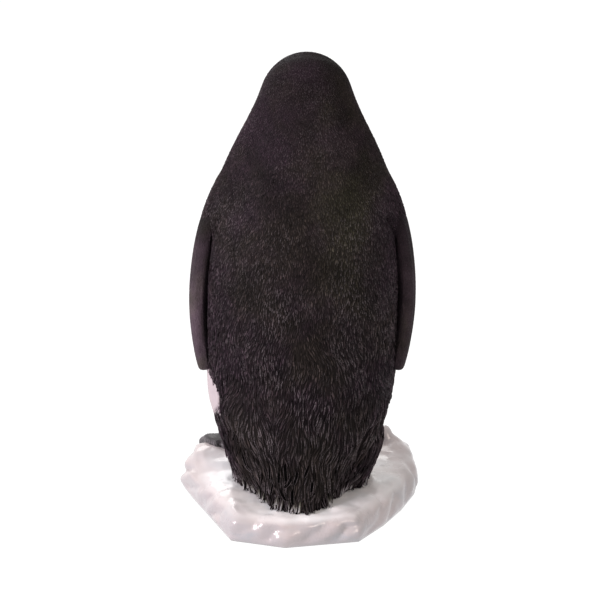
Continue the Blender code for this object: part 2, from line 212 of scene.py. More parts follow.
paint = {
    "black": (0.0075, 0.0056, 0.0068),
    "dryBrush": (0.230, 0.195, 0.210),       # dry brushing dragged over the raised strands, which also stands as their painted highlight
    "violetCast": (1.15, 0.96, 1.10),        # the black leans to violet in places and to olive in others
    "oliveCast": (1.04, 1.06, 0.80),
    # the flippers' outer face in painted sheen: lighter on the left one, darker on the right one in painted
    # shade
    "flipperFace": {"left": (0.0680, 0.0565, 0.0630), "right": (0.0320, 0.0258, 0.0275)},
    "white": (0.575, 0.520, 0.530),
    # painted shade on the white, low on the flank beside the black
    "flankWash": (0.74, 0.72, 0.73),
    "cream": (0.74, 0.60, 0.34),
    "gold": (0.74, 0.36, 0.030),
    "frost": (0.54, 0.52, 0.54),             # white brushed over the hem's tips
}
brushwork = {
    "patches": (16, 4),                      # scale and detail of each layer's noise
    "casts": (7.5, 3),
    "specks": (420, 2),
    "grain": (700, 2),
    "darkShades": (0.62, 1.38),              # how far the dark paint varies from patch to patch
    "grainBump": (0.25, 0.0004),
    "specular": 0.05,
}


def newPaint(name):
    material = bpy.data.materials.new(name)
    material.use_nodes = True
    tree = material.node_tree
    shader = tree.nodes["Principled BSDF"]
    return material, tree, shader


def addNode(tree, kind, **settings):
    node = tree.nodes.new(kind)
    for key, value in settings.items():
        setattr(node, key, value)
    return node


def noiseNode(tree, scale, detail=3.0, roughness=0.55, stretch=None):
    coords = addNode(tree, "ShaderNodeTexCoord")
    texture = addNode(tree, "ShaderNodeTexNoise")
    texture.inputs["Scale"].default_value = scale
    texture.inputs["Detail"].default_value = detail
    texture.inputs["Roughness"].default_value = roughness
    source = coords.outputs["Object"]
    if stretch:
        mapping = addNode(tree, "ShaderNodeMapping")
        mapping.inputs["Scale"].default_value = stretch
        tree.links.new(source, mapping.inputs["Vector"])
        source = mapping.outputs["Vector"]
    tree.links.new(source, texture.inputs["Vector"])
    return texture.outputs["Fac"]


def remap(tree, source, low, high, outLow, outHigh):
    node = addNode(tree, "ShaderNodeMapRange")
    for key, value in zip(("From Min", "From Max", "To Min", "To Max"), (low, high, outLow, outHigh)):
        node.inputs[key].default_value = value
    tree.links.new(source, node.inputs["Value"])
    return node.outputs["Result"]


def mixColour(tree, share, first, second, blend="MIX"):
    node = addNode(tree, "ShaderNodeMix", data_type="RGBA", blend_type=blend)
    for socket, value in ((node.inputs[0], share), (node.inputs[6], first), (node.inputs[7], second)):
        if isinstance(value, (int, float)):
            socket.default_value = value
        elif isinstance(value, tuple):
            socket.default_value = (*value, 1.0)
        else:
            tree.links.new(value, socket)
    return node.outputs[2]


def mathNode(tree, operation, first, second=None):
    node = addNode(tree, "ShaderNodeMath", operation=operation)
    for socket, value in zip(node.inputs, (first, second)):
        if value is None:
            continue
        if isinstance(value, (int, float)):
            socket.default_value = value
        else:
            tree.links.new(value, socket)
    return node.outputs[0]


def addBump(tree, shader, height, strength, distance):
    bump = addNode(tree, "ShaderNodeBump")
    bump.inputs["Strength"].default_value = strength
    bump.inputs["Distance"].default_value = distance
    tree.links.new(height, bump.inputs["Height"])
    tree.links.new(bump.outputs["Normal"], shader.inputs["Normal"])


def attributeNode(tree, name):
    return addNode(tree, "ShaderNodeAttribute", attribute_name=name).outputs


def plumagePaint(name, wearAndHighlightShare, roughLow, roughHigh):
    material, tree, shader = newPaint(name)
    marking = attributeNode(tree, "marking")["Color"]
    wear = attributeNode(tree, "wear")["Fac"]
    patches = noiseNode(tree, *brushwork["patches"])
    casts = noiseNode(tree, *brushwork["casts"])
    specks = noiseNode(tree, *brushwork["specks"])
    # the dark paint is laid on unevenly, the white one evenly
    bright = addNode(tree, "ShaderNodeRGBToBW")
    tree.links.new(marking, bright.inputs["Color"])
    dark = remap(tree, bright.outputs["Val"], 0.03, 0.30, 1.0, 0.12)
    castShare = remap(tree, casts, 0.40, 0.60, 0.0, 1.0)
    cast = mixColour(tree, castShare, paint["violetCast"], paint["oliveCast"])
    patchShade = remap(tree, patches, 0.32, 0.68, *brushwork["darkShades"])
    shade = mixColour(tree, 1.0, cast, patchShade, "MULTIPLY")
    shade = mixColour(tree, dark, (1.0, 1.0, 1.0), shade)
    tinted = mixColour(tree, 1.0, marking, shade, "MULTIPLY")
    # dry brushing and a painted highlight, laid on the worn crests and tips
    brushedAndLit = mathNode(tree, "MULTIPLY", wear, remap(tree, specks, 0.40, 0.62, 0.15, 1.0))
    brushedAndLit = mathNode(tree, "MULTIPLY", brushedAndLit, wearAndHighlightShare)
    colour = mixColour(tree, brushedAndLit, tinted, paint["dryBrush"], "LIGHTEN")
    tree.links.new(colour, shader.inputs["Base Color"])
    tree.links.new(remap(tree, patches, 0.3, 0.7, roughLow, roughHigh), shader.inputs["Roughness"])
    shader.inputs["Specular IOR Level"].default_value = brushwork["specular"]
    addBump(tree, shader, noiseNode(tree, *brushwork["grain"]), *brushwork["grainBump"])
    return material


bodyPaint = plumagePaint("bodyPlumagePaint", 0.9, 0.40, 0.54)
wingPaint = plumagePaint("flipperPaint", 0.8, 0.46, 0.58)
skinPaint = plumagePaint("underPaint", 0.0, 0.50, 0.62)
print("paints mixed")


# heights are in metres above the floor, turns in degrees from the middle of the back
markings = {
    "thinner": 0.22,                 # how much paler the black is on the upper body
    "thinnerFrom": (0.30, 0.62),
    "edgeSoft": 2.6,                 # degrees over which black turns to white
    "flankEdge": {                   # height and turn where the white begins
        "left": [
            (0.06, 118), (0.17, 112), (0.205, 99), (0.222, 85), (0.240, 72), (0.262, 64.5), (0.285, 63),
            (0.305, 66), (0.325, 76), (0.36, 88), (0.45, 102), (0.60, 112), (0.68, 116), (0.73, 111),
            (0.775, 103),
        ],
        "right": [
            (0.06, 118), (0.17, 112), (0.25, 104), (0.31, 98), (0.45, 104), (0.60, 112), (0.68, 116),
            (0.73, 111), (0.775, 103),
        ],
    },
    "neckBow": [(0.80, 0.0), (0.86, 0.006), (0.93, 0.045)],    # height, and how far the neck has bowed
    "hoodHem": 0.795,                # height where the black hood ends on the throat
    "hoodSoft": 0.006,
    "hoodJitter": 0.0006,            # how far its hem wanders from feather to feather
    "hoodDrop": (0.10, 0.06),        # the hood reaches lower on the chin: slope, and where it starts
    "creamFrom": (0.60, 0.775),
    "goldHeights": (0.755, 0.915),
    "goldSide": (5, 3),              # degrees over which its sides fade, inside and outside
    "goldFades": (0.02, 0.012),      # heights over which its foot and its top fade
    "goldTurns": [(0.755, 150), (0.80, 126), (0.84, 110), (0.88, 99), (0.915, 92)],
    "goldWidths": [(0.755, 42), (0.79, 26), (0.83, 20), (0.87, 16), (0.90, 10), (0.915, 2)],
    "goldDeepens": (0.77, 0.86),
    "washTurns": (12, 45),           # painted shade greying the white beside its edge, low on the flank
    "washHeights": (0.36, 0.52),
    # an olive tint with painted light over the right side of the back, which it makes lighter: x and height
    "olive": {"middle": (-0.095, 0.710), "spread": (0.058, 0.165), "tint": (1.50, 1.78, 1.32)},
}


def tableAt(table, value):
    heights, values = zip(*table)
    return np.interp(value, heights, values)


def turnFromBack(points):
    # degrees round the upright axis, 0 at the middle of the back, plus on the left
    x = points[:, 0] - leanShift(points[:, 2])
    y = points[:, 1] - stance["axisY"]
    y = y + tableAt(markings["neckBow"], points[:, 2])
    return np.degrees(np.arctan2(x, y))


def edgeAt(turn, z):
    left = tableAt(markings["flankEdge"]["left"], z)
    right = tableAt(markings["flankEdge"]["right"], z)
    return np.where(turn > 0, left, right)


def whiteShare(points, around, edge, jitter):
    soft = markings["edgeSoft"]
    white = smoothStep(around, edge - soft / 2, edge + soft / 2)
    slope, start = markings["hoodDrop"]
    headRise = points[:, 2] + slope * np.clip(-points[:, 1] - start, 0, 1)
    hem, hemSoft = markings["hoodHem"], markings["hoodSoft"]
    headRise = headRise + jitter * markings["hoodJitter"]
    return white * (1 - smoothStep(headRise, hem - hemSoft, hem + hemSoft))


def goldShare(z, around):
    middle = tableAt(markings["goldTurns"], z)
    width = tableAt(markings["goldWidths"], z)
    low, high = markings["goldHeights"]
    inside, outside = markings["goldSide"]
    gold = 1 - smoothStep(np.abs(around - middle), width - inside, width + outside)
    foot, top = markings["goldFades"]
    return gold * smoothStep(z, low - foot, low + foot) * (1 - smoothStep(z, high - top, high))


def colourAt(points, jitter=0.0):
    z = points[:, 2]
    turn = turnFromBack(points)
    around = np.abs(turn) + jitter
    edge = edgeAt(turn, z)
    white = whiteShare(points, around, edge, jitter)
    gold = goldShare(z, around)
    # olive tint and painted light, lighter on the right side of the back
    oliveLitShare = softPatch(points[:, 0], z, markings["olive"]) * (points[:, 1] > 0)
    creamShare = smoothStep(z, *markings["creamFrom"])
    deepShare = smoothStep(z, *markings["goldDeepens"])
    aloft = 1 + markings["thinner"] * smoothStep(z, *markings["thinnerFrom"])
    # painted shade on the white beside its edge, low on the flank
    flankShade = 1 - smoothStep(around - edge, *markings["washTurns"])
    flankShade = flankShade * (1 - smoothStep(z, *markings["washHeights"]))
    colours = np.empty((len(points), 3))
    for k in range(3):
        black = paint["black"][k] * (1 + (markings["olive"]["tint"][k] - 1) * oliveLitShare) * aloft
        breast = mix(paint["white"][k], paint["cream"][k], creamShare)
        breast = breast * mix(1.0, paint["flankWash"][k], flankShade)
        patch = mix(paint["cream"][k], paint["gold"][k], deepShare)
        colours[:, k] = mix(mix(black, breast, white), patch, gold)
    return colours


skin = {
    "flesh": ["trunk", "neck", "head", "leg_left", "leg_right", "tail"],
    # y from the bird's axis, height and tilt of the rows, from the hem to the bill
    "spine": [
        (0.028, 0.050, 0), (0.020, 0.140, -4), (0.002, 0.300, -2), (0.000, 0.480, 0),
        (0.000, 0.650, 2), (0.001, 0.800, 8), (-0.002, 0.855, 17), (-0.014, 0.902, 33),
        (-0.043, 0.930, 56), (-0.077, 0.932, 82), (-0.107, 0.921, 104), (-0.131, 0.903, 120),
        (-0.151, 0.884, 127), (-0.176, 0.864, 128),
    ],
    "pitch": [(0, 0.0046), (5, 0.0042), (8, 0.0024), (13, 0.0017)],   # row spacing at stations
    "columns": 216,
    "backDepth": 0.09,                # from the spine to the back, which sets how far tilted rows fan out
    "aboveIce": 0.003,                # rows below this are cast from here
    "bridge": 0.003,                  # gaps between the solids up to this wide are skinned over
    "shoulder": (0.600, 0.655),       # heights over which the flipper grows out of the side
    "shoulderBridge": 0.03,
    "shoulderTop": 0.84,
    "socketReach": 1.35,              # the skin is mended this many radii round each eye
    "mendingPasses": 60,
    "softening": {"back": (26, 20), "face": (12, 6), "legs": (8, 6)},   # passes along and round
    "faceRows": (0.52, 0.66),         # share of the rows over which the back's softening becomes the face's
    "legHeights": (0.14, 0.30),
    "shoulderHeights": ((0.610, 0.655), (0.76, 0.83)),
    "crown": {"rows": 22, "rounds": 6, "passes": 5},
    "coatDepth": [(0.0, 0.0032), (0.20, 0.0026), (0.45, 0.0016), (0.85, 0.0011), (1.25, 0.0007)],
}
# lines of height and degrees from the back, each fading in and out with height
creases = {
    # between the right leg and the rump
    "leg": {
        "line": [(0.060, -50), (0.090, -57), (0.152, -67), (0.215, -80)],
        "depth": 0.0056, "width": 0.0048, "fadeIn": (0.062, 0.085), "fadeOut": (0.185, 0.225),
        "hollow": (0.55, 0.0006),     # a broad dip on the leg's side: share of the depth, spread squared
    },
    # a short one where the flipper's rear edge runs up into the shoulder
    "shoulder": {
        "line": [(0.564, 81), (0.600, 78), (0.630, 75.5), (0.663, 70.5), (0.680, 66)],
        "depth": 0.0085, "width": 0.0056, "fadeIn": (0.560, 0.580), "fadeOut": (0.664, 0.682),
    },
}
# height, distance from the eye's middle and spread of each form round the eye
faceForms = {
    "socket": (-0.0016, 0.0, 0.0135),
    "brow": (0.0014, 0.0155, 0.006),
    "cheek": (0.0010, 0.020, 0.009),
}
unwrap = {
    "margin": 0.005,
    "bodyWidth": 0.80,                # the body takes this share, and the flippers and lids the rest
    "flipperStart": {"left": 0.815, "right": 0.91},
    "flipperSize": (0.08, 0.60),
    "lidMiddle": {"left": (0.86, 0.75), "right": (0.95, 0.75)},
    "lidSize": (0.008, 0.03),         # opening, and from there to the lid's outer edge
}
eyeSpots = {side: (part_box("eye_" + side)[0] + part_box("eye_" + side)[1]) / 2 for side in sides}
eyeRadius = (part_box("eye_left")[1].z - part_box("eye_left")[0].z) / 2


def spineRows():
    stations = skin["spine"]
    spots = np.linspace(0, len(stations) - 1, 3000)
    path = curveThrough(stations, spots)
    turn = np.radians(path[:, 2])
    steps = np.hypot(np.diff(path[:, 0]), np.diff(path[:, 1])) + skin["backDepth"] * np.abs(np.diff(turn))
    count = np.concatenate([[0], np.cumsum(steps / tableAt(skin["pitch"], spots[1:]))])
    rowSpots = np.interp(np.arange(int(count[-1]) + 1), count, spots)
    return curveThrough(stations, rowSpots)


def castRows(rows):
    # how far the solids reach from the spine, along each row's spokes
    bare = treeOf(skin["flesh"])
    winged = treeOf(skin["flesh"] + ["wing_left", "wing_right"])
    around = np.arange(skin["columns"]) / skin["columns"] * math.tau
    origins = np.empty((len(rows), 3))
    reach = np.empty((len(rows), skin["columns"]))
    ways = np.empty((*reach.shape, 3))
    nearEye = np.zeros(reach.shape, bool)
    lowest = stance["iceTop"] + skin["aboveIce"]
    for r, (y, z, tilt) in enumerate(rows):
        lean = math.radians(tilt)
        origin = Vector((leanShift(z), stance["axisY"] + y, z))
        caster = Vector((origin.x, origin.y, max(z, lowest)))
        origins[r] = origin
        share = float(smoothStep(z, *skin["shoulder"])) if z < skin["shoulderTop"] else 0.0
        for c, turn in enumerate(around):
            way = Vector((math.sin(turn), math.cos(turn) * math.cos(lean), math.cos(turn) * math.sin(lean)))
            distance = reachOut(bare, caster, way, skin["bridge"])
            if share > 0:
                distance = mix(distance, reachOut(winged, caster, way, skin["shoulderBridge"]), share)
            reach[r, c] = distance
            ways[r, c] = way
            gap = min((caster + way * distance - eye).length for eye in eyeSpots.values())
            nearEye[r, c] = gap < eyeRadius * skin["socketReach"]
    return origins, ways, reach, nearEye


def mendedSockets(reach, nearEye):
    # the eyes' sockets are filled over, smoothly, from the cheek round them
    mended = reach.copy()
    mended[nearEye] = np.nan
    spots = np.arange(skin["columns"])
    for r in np.unique(np.nonzero(nearEye)[0]):
        good = ~np.isnan(mended[r])
        mended[r] = np.interp(spots, spots[good], mended[r][good], period=skin["columns"])
    for _ in range(skin["mendingPasses"]):
        mended = np.where(nearEye, blurred(mended, 1, 1), mended)
    return mended


def softenedReach(reach, height):
    back, face, legs = (blurred(reach, *passes) for passes in skin["softening"].values())
    # the shoulders keep more of their own shape than the back does
    back = mix(back, np.maximum(back, legs), between(height, *skin["shoulderHeights"]))
    faceShare = smoothStep(np.arange(len(reach)) / len(reach), *skin["faceRows"])[:, None]
    return mix(legs, mix(back, face, faceShare), smoothStep(height, *skin["legHeights"]))


def creasedReach(reach, height):
    around = np.arange(skin["columns"]) / skin["columns"] * math.tau
    turns = (np.degrees(around)[None, :] + 180) % 360 - 180
    for name, crease in creases.items():
        turn = turns if name == "leg" else np.abs(turns)
        gap = np.radians(turn - tableAt(crease["line"], height)) * reach
        fade = between(height, crease["fadeIn"], crease["fadeOut"])
        groove = bell(gap, crease["width"])
        if name == "leg":
            share, spread = crease["hollow"]
            groove = groove + share * np.exp(-gap.clip(-1, 0) ** 2 / spread) * (gap < 0)
            fade = fade * (turns < 0)
        reach = reach - crease["depth"] * groove * fade
    return reach


def bodyGrid():
    rows = spineRows()
    origins, ways, reach, nearEye = castRows(rows)
    height = rows[:, 1][:, None]
    reach = softenedReach(mendedSockets(reach, nearEye), height)
    return origins[:, None, :] + ways * creasedReach(reach, height)[..., None]


def evenedCrown(shell):
    # the crown is evened out where the neck's rows pass into the face's
    crown = skin["crown"]
    top = int(np.argmax(shell[:, 0, 2]))
    share = bell(np.arange(len(shell)) - top, crown["rows"])[:, None, None]
    for _ in range(crown["rounds"]):
        shell = mix(shell, blurred(shell, crown["passes"], 0), share)
    return shell


bodyShell = evenedCrown(bodyGrid())
bodyRows, bodyColumns = bodyShell.shape[:2]
backRise = np.linalg.norm(np.diff(bodyShell[:, 0], axis=0), axis=1)
backLength = np.concatenate([[0], np.cumsum(backRise)])     # along the back from the hem
shellNormals = gridNormals(bodyShell)
inset = tableAt(skin["coatDepth"], backLength)
bodySkin = bodyShell - shellNormals * inset[:, None, None]
print("skin rows", bodyRows, "back length", round(backLength[-1], 3))


def sculptFace(points, normals):
    # sockets, and a brow over and a cheek under each
    moved = points.copy()
    for eye in eyeSpots.values():
        offset = points - np.array(eye)
        far = np.linalg.norm(offset, axis=2)
        socket, brow, cheek = (
            height * bell(far - start, spread) for height, start, spread in faceForms.values()
        )
        brow = brow * smoothStep(offset[..., 2], 0.0, 0.010)
        cheek = cheek * smoothStep(-offset[..., 2], 0.0, 0.012)
        moved += normals * (socket + brow + cheek)[..., None]
    return moved


bodySkin = sculptFace(bodySkin, shellNormals)
bodyNormals = gridNormals(bodySkin)


def rootUv(rows, columns):
    up = rows / bodyRows * (1 - 2 * unwrap["margin"]) + unwrap["margin"]
    return np.stack([columns / bodyColumns * unwrap["bodyWidth"], up], axis=-1)


def closedParts(grid, uvAt):
    # corners, faces and unwrap of a grid that runs round, with a point that closes each end
    rows, columns = grid.shape[:2]
    corners = grid.reshape(-1, 3)
    faces = gridFaces(rows, columns)
    row, column = np.divmod(np.array(faces), columns)
    # the last column's faces end on the seam and not back at the first column
    wraps = (column[:, :1] == columns - 1) & (column == 0)
    column = np.where(wraps, columns, column)
    uvs = [*uvAt(row, column).reshape(-1, 2)]
    for r, order in ((0, 1), (rows - 1, -1)):
        hub = len(corners)
        corners = np.vstack([corners, grid[r].mean(axis=0)])
        for c in range(columns):
            pair = [r * columns + c, r * columns + (c + 1) % columns][::order]
            faces.append([*pair, hub])
            spots = [uvAt(np.float64(r), np.float64(c + k)) for k in (0, 1)][::order]
            uvs += [*spots, (spots[0] + spots[1]) / 2]
    return corners, faces, np.array(uvs)


print("face sculpted")


flipper = {
    "rows": 104,
    "climbPower": 0.85,      # the rows crowd together towards the tip, less so as this falls
    "tipGap": 0.0008,
    "topGap": 0.03,          # the top row lies this far above the root
    "outerColumns": 44,
    "innerColumns": 20,
    "fan": (-45, 45, 0.5),   # degrees over which the blade's edges are looked for, and the step
    "edgeInset": 0.995,
    "ridges": 7,             # faint ridges along the outer face
    "ridgeHeight": 0.00055,
    "ridgesFrom": 0.25,
    "gutterAt": -0.055,      # groove along the edges, as a share of the half width
    "gutterWidth": 0.030,
    "gutterDepth": 0.0016,
    "rimFromGutter": 0.10,
    "rimWidth": 0.060,
    "rimHeight": 0.0015,
    "reliefFades": ((0.01, 0.05), (0.60, 0.68)),     # above the tip, and heights up at the shoulder
    "coatDepth": 0.0005,
    "tuck": 0.006,           # how far the inner face sinks into the flank
    "root": (0.650, 0.705),  # heights over which the blade sinks into the shoulder
    "rootDepth": 0.020,
}


def bladeWay(side, turn):
    return Vector((sides[side] * math.cos(turn), math.sin(turn), 0))


def castBlade(side):
    # the columns run across the outer face and back across the inner one
    tree = treeOf(["wing_" + side])
    long = rays["length"]
    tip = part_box("wing_" + side)[0].z
    climb = (1 - np.cos(np.linspace(0, math.pi, flipper["rows"]) * 0.5)) ** flipper["climbPower"]
    levels = mix(tip + flipper["tipGap"], flipper["root"][1] + flipper["topGap"], climb)
    outer, inner = flipper["outerColumns"], flipper["innerColumns"]
    spread = np.concatenate([
        np.sin(np.linspace(-0.5, 0.5, outer) * math.pi),
        np.sin(np.linspace(0.5, -0.5, inner + 2)[1:-1] * math.pi),
    ])
    first, last, step = flipper["fan"]
    fan = np.radians(np.arange(first, last + 0.1, step))
    grid = np.empty((len(levels), outer + inner, 3))
    for r, z in enumerate(levels):
        centre = Vector((leanShift(z), stance["axisY"], z))
        turns = [turn for turn in fan if tree.ray_cast(centre, bladeWay(side, turn), long)[0] is not None]
        front, rear = min(turns), max(turns)
        middle, half = (front + rear) / 2, (rear - front) / 2 * flipper["edgeInset"]
        for c, share in enumerate(spread):
            way = bladeWay(side, middle + half * share)
            near = tree.ray_cast(centre, way, long)[3] or 0.2
            far = long - (tree.ray_cast(centre + way * long, -way, long)[3] or 0.3)
            depth = far if c < outer else near - flipper["tuck"] * (1 - share**2)
            if c in (0, outer - 1):
                depth = (near + far) / 2
            grid[r, c] = centre + way * depth
    return grid, spread, levels


def bladeRelief(spread, levels, face, tip):
    # rounded edges with a gutter inside them, and faint ridges along the outer face
    ridges = flipper["ridgeHeight"] * np.cos(spread * math.pi * flipper["ridges"])
    # 0 on the very edge, plus over the outer face, minus over the inner one
    fromEdge = (1 - np.abs(spread)) * np.sign(face.mean(axis=0) - 0.5)
    fromGutter = fromEdge - flipper["gutterAt"]
    gutter = bell(fromGutter, flipper["gutterWidth"]) * flipper["gutterDepth"]
    rim = bell(fromGutter + flipper["rimFromGutter"], flipper["rimWidth"]) * flipper["rimHeight"]
    relief = (ridges * (fromEdge > flipper["ridgesFrom"]) * face) + (rim - gutter)[None, :]
    above, heights = flipper["reliefFades"]
    fade = smoothStep(levels, tip + above[0], tip + above[1]) * (1 - smoothStep(levels, *heights))
    return relief * fade[:, None]


def flipperGrid(side):
    sign = sides[side]
    grid, spread, levels = castBlade(side)
    outer = flipper["outerColumns"]
    grid = blurred(grid, 5, 0)
    grid[:, 1:outer - 1] = 0.25 * grid[:, :outer - 2] + 0.5 * grid[:, 1:outer - 1] + 0.25 * grid[:, 2:outer]
    # columns have to go round with the back on the same hand as the body's
    if sign < 0:
        grid, spread = grid[:, ::-1], spread[::-1]
    normals = gridNormals(grid)
    if (normals[:, np.argmin(np.abs(spread)), 0] * sign).mean() < 0:
        grid, spread = grid[:, ::-1], spread[::-1]
        normals = gridNormals(grid)
    face = np.where(normals[..., 0] * sign > 0, 1.0, 0.0)
    relief = bladeRelief(spread, levels, face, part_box("wing_" + side)[0].z)
    grid = grid + normals * (relief - flipper["coatDepth"])[..., None]
    grid[..., 0] -= sign * flipper["rootDepth"] * smoothStep(levels, *flipper["root"])[:, None]
    return grid, spread


flippers = {side: flipperGrid(side) for side in sides}


def flipperUv(side, rows, columns):
    wide, high = unwrap["flipperSize"]
    shape = flippers[side][0].shape
    across = unwrap["flipperStart"][side] + columns / shape[1] * wide
    return np.stack([across, rows / shape[0] * high + unwrap["margin"]], axis=-1)


flipperCoat = {
    "length": 0.0062, "width": 0.0030, "ridge": 0.00024, "lift": 0.00034,
    "overlap": 0.55, "packing": 0.95, "looseness": 0.20,
    "mids": 2,
    "scatter": [(0.14, 0.6, 1.5), (0.12, 0.6, 1.5), (0.20, 0.4, 1.8), (0.30, 0.2, 2.0)],
    "swing": 3,
    "curl": 2,
    "rimFrom": (-0.075, -0.035),     # across the rim, the black edge gives way to the pale face
    "paleLost": 0.92,                # how much of it is lost again up at the shoulder
    "paleHeights": (0.51, 0.67),
    "unevenness": 0.08,              # from feather to feather
    "shades": (0.6, 1.5),            # darkest and palest feather, as shares of the colour
    "contrast": 0.08,                # of each feather's painted shade on its edge with the painted highlight on its crest
    "wear": 0.12,
    "skinShade": 0.85,
    "seed": 23,
}


def flipperOuter(side):
    # 1 on the columns of the outer face, 0 on those of the inner one
    grid, _ = flippers[side]
    return (gridNormals(grid)[..., 0].mean(axis=0) * sides[side] > 0).astype(float)


def flipperTint(side, columns, heights):
    # outer face pale in painted sheen, lighter on the left flipper and darker in painted shade on the right,
    # black rolled rim and inner face, black again up at the shoulder
    _, spread = flippers[side]
    spots = np.arange(len(spread))
    across = np.interp(columns, spots, np.abs(spread))
    outer = np.interp(columns, spots, flipperOuter(side))
    fromEdge = (1 - across) * np.sign(outer - 0.5)
    pale = smoothStep(fromEdge, *flipperCoat["rimFrom"])
    pale = pale * (1 - flipperCoat["paleLost"] * smoothStep(heights, *flipperCoat["paleHeights"]))
    return mix(np.array(paint["black"]), np.array(paint["flipperFace"][side]), pale[:, None])


print("flippers lofted")


lids = {
    "steps": 40,
    "rings": 9,
    "halfLength": 0.0071,
    "halfHeight": 0.0050,
    "corners": (0.92, 1.18),  # powers that draw the opening out to a point at its two corners
    "reach": 0.0150,          # where the lid runs out into the cheek
    "offBall": 0.0004,
    "underCheek": 0.0009,
    "runOut": (0.08, 0.75),   # share of the way out over which the lid leaves the ball for the cheek
    "roll": 0.0011,           # height of the rolled edge
    "rollSteepness": 2.6,
    "puff": (0.0004, 0.4),    # swelling of the upper lid, and the lower lid's share of it
    "slant": -18,             # degrees that the eye's corners tip down to the bill
}
skinTree = treeOfGrid(bodySkin)


def eyeAxes(side):
    eye = eyeSpots[side]
    spot, normal, _, _ = skinTree.find_nearest(eye)
    forward = Vector((0, -math.cos(math.radians(lids["slant"])), math.sin(math.radians(lids["slant"]))))
    forward = (forward - normal * forward.dot(normal)).normalized()
    up = normal.cross(forward)
    if up.z < 0:
        up = -up
    return eye, normal, forward, up, (spot - eye).dot(normal)


def lidHeight(share, turn, onBall, onCheek):
    # above the eye's middle: rolled at the opening and running out into the cheek
    lift = mix(onBall, onCheek, float(smoothStep(share, *lids["runOut"])))
    rolled = share * lids["rollSteepness"]
    if rolled < 1:
        lift += lids["roll"] * math.sin(math.pi * rolled)
    puff, lower = lids["puff"]
    return lift + puff * math.sin(math.pi * share) * (1 if math.sin(turn) > 0 else lower)


def lidParts(side):
    eye, out, forward, up, cheek = eyeAxes(side)
    steps, rings = lids["steps"], lids["rings"]
    lengthPower, heightPower = lids["corners"]
    corners = []
    for k in range(rings):
        share = k / (rings - 1)
        for j in range(steps):
            turn = j / steps * math.tau
            across = math.copysign(abs(math.cos(turn)) ** lengthPower, math.cos(turn))
            rise = math.copysign(abs(math.sin(turn)) ** heightPower, math.sin(turn))
            inner = forward * (across * lids["halfLength"]) + up * (rise * lids["halfHeight"])
            outer = (forward * math.cos(turn) + up * math.sin(turn)) * lids["reach"]
            flat = inner.lerp(outer, share)
            onBall = math.sqrt(max((eyeRadius + lids["offBall"]) ** 2 - inner.length_squared, 1e-8))
            spot = skinTree.ray_cast(eye + flat + out * 0.03, -out, 0.06)[0]
            onCheek = (spot - eye).dot(out) - lids["underCheek"] if spot else cheek
            corners.append(eye + flat + out * lidHeight(share, turn, onBall, onCheek))
    grid = np.array(corners).reshape(rings, steps, 3)
    faces = gridFaces(rings, steps)
    facing = np.cross(grid[1, 0] - grid[0, 0], grid[0, 1] - grid[0, 0]) @ np.array(out)
    if facing < 0:
        faces = [face[::-1] for face in faces]
    row, column = np.divmod(np.array(faces), steps)
    centre = unwrap["lidMiddle"][side]
    inner, outer = unwrap["lidSize"]
    spread = inner + outer * row / rings
    turn = column / steps * math.tau
    uvs = np.stack([centre[0] + spread * np.cos(turn), centre[1] + spread * np.sin(turn)], axis=-1)
    return grid.reshape(-1, 3), faces, uvs.reshape(-1, 2)


def flipperSkinColours(side, corners):
    grid, _ = flippers[side]
    rows, columns = grid.shape[:2]
    blade = flipperTint(side, np.tile(np.arange(columns), rows), corners[:-2, 2]) * flipperCoat["skinShade"]
    return np.vstack([blade, np.tile(paint["black"], (2, 1))])


def buildSkin():
    corners, faces, uvs = closedParts(bodySkin, rootUv)
    colours = colourAt(corners)
    parts = [(*closedParts(flippers[side][0], partial(flipperUv, side)), side) for side in sides]
    parts += [(*lidParts(side), None) for side in sides]
    for partCorners, partFaces, partUvs, flipperSide in parts:
        faces += [[len(corners) + i for i in face] for face in partFaces]
        corners = np.vstack([corners, partCorners])
        uvs = np.vstack([uvs, partUvs])
        own = flipperSkinColours(flipperSide, partCorners) if flipperSide else colourAt(partCorners)
        colours = np.vstack([colours, own])
    obj = makeObject("plumageSkin", corners, faces, skinPaint, uvs)
    paintPoints(obj, "marking", colours)
    notePoints(obj, "wear", np.zeros(len(corners)))
    place(obj, "black_paint", "trunk", "neck", "head", "leg_left", "leg_right", "tail",
          "wing_left", "wing_right")


buildSkin()
print("skin joined")

eyeLook = {
    "iris": 0.0050,
    "pupil": 0.0033,
    "irisColour": (0.050, 0.018, 0.007),
    "rimColour": (0.010, 0.008, 0.008),
    "pupilColour": (0.0015, 0.0015, 0.0015),
    "segments": 40,
    "rings": 24,
    "size": 0.985,           # the ball lies this much inside its solid
    "soft": (0.94, 1.04),    # shares of its radius over which each ring's edge fades
    "roughness": 0.10,
    "shine": 0.12,
    "glaze": 0.30,
    "glazeRoughness": 0.03,
}


def eyePaint(side):
    material, tree, shader = newPaint("eyeGlass" + side.capitalize())
    eye, out, _, _, _ = eyeAxes(side)
    coords = addNode(tree, "ShaderNodeTexCoord")
    far = addNode(tree, "ShaderNodeVectorMath", operation="DISTANCE")
    far.inputs[1].default_value = eye + out * eyeRadius
    tree.links.new(coords.outputs["Object"], far.inputs[0])
    iris, pupil = (
        remap(tree, far.outputs["Value"], *(eyeLook[ring] * share for share in eyeLook["soft"]), 1.0, 0.0)
        for ring in ("iris", "pupil")
    )
    fibres = remap(tree, noiseNode(tree, 1500, 2), 0.35, 0.65, 0.5, 1.4)
    brown = mixColour(tree, 1.0, eyeLook["irisColour"], fibres, "MULTIPLY")
    colour = mixColour(tree, iris, eyeLook["rimColour"], brown)
    colour = mixColour(tree, pupil, colour, eyeLook["pupilColour"])
    tree.links.new(colour, shader.inputs["Base Color"])
    shader.inputs["Roughness"].default_value = eyeLook["roughness"]
    shader.inputs["Specular IOR Level"].default_value = eyeLook["shine"]
    shader.inputs["Coat Weight"].default_value = eyeLook["glaze"]
    shader.inputs["Coat Roughness"].default_value = eyeLook["glazeRoughness"]
    return material


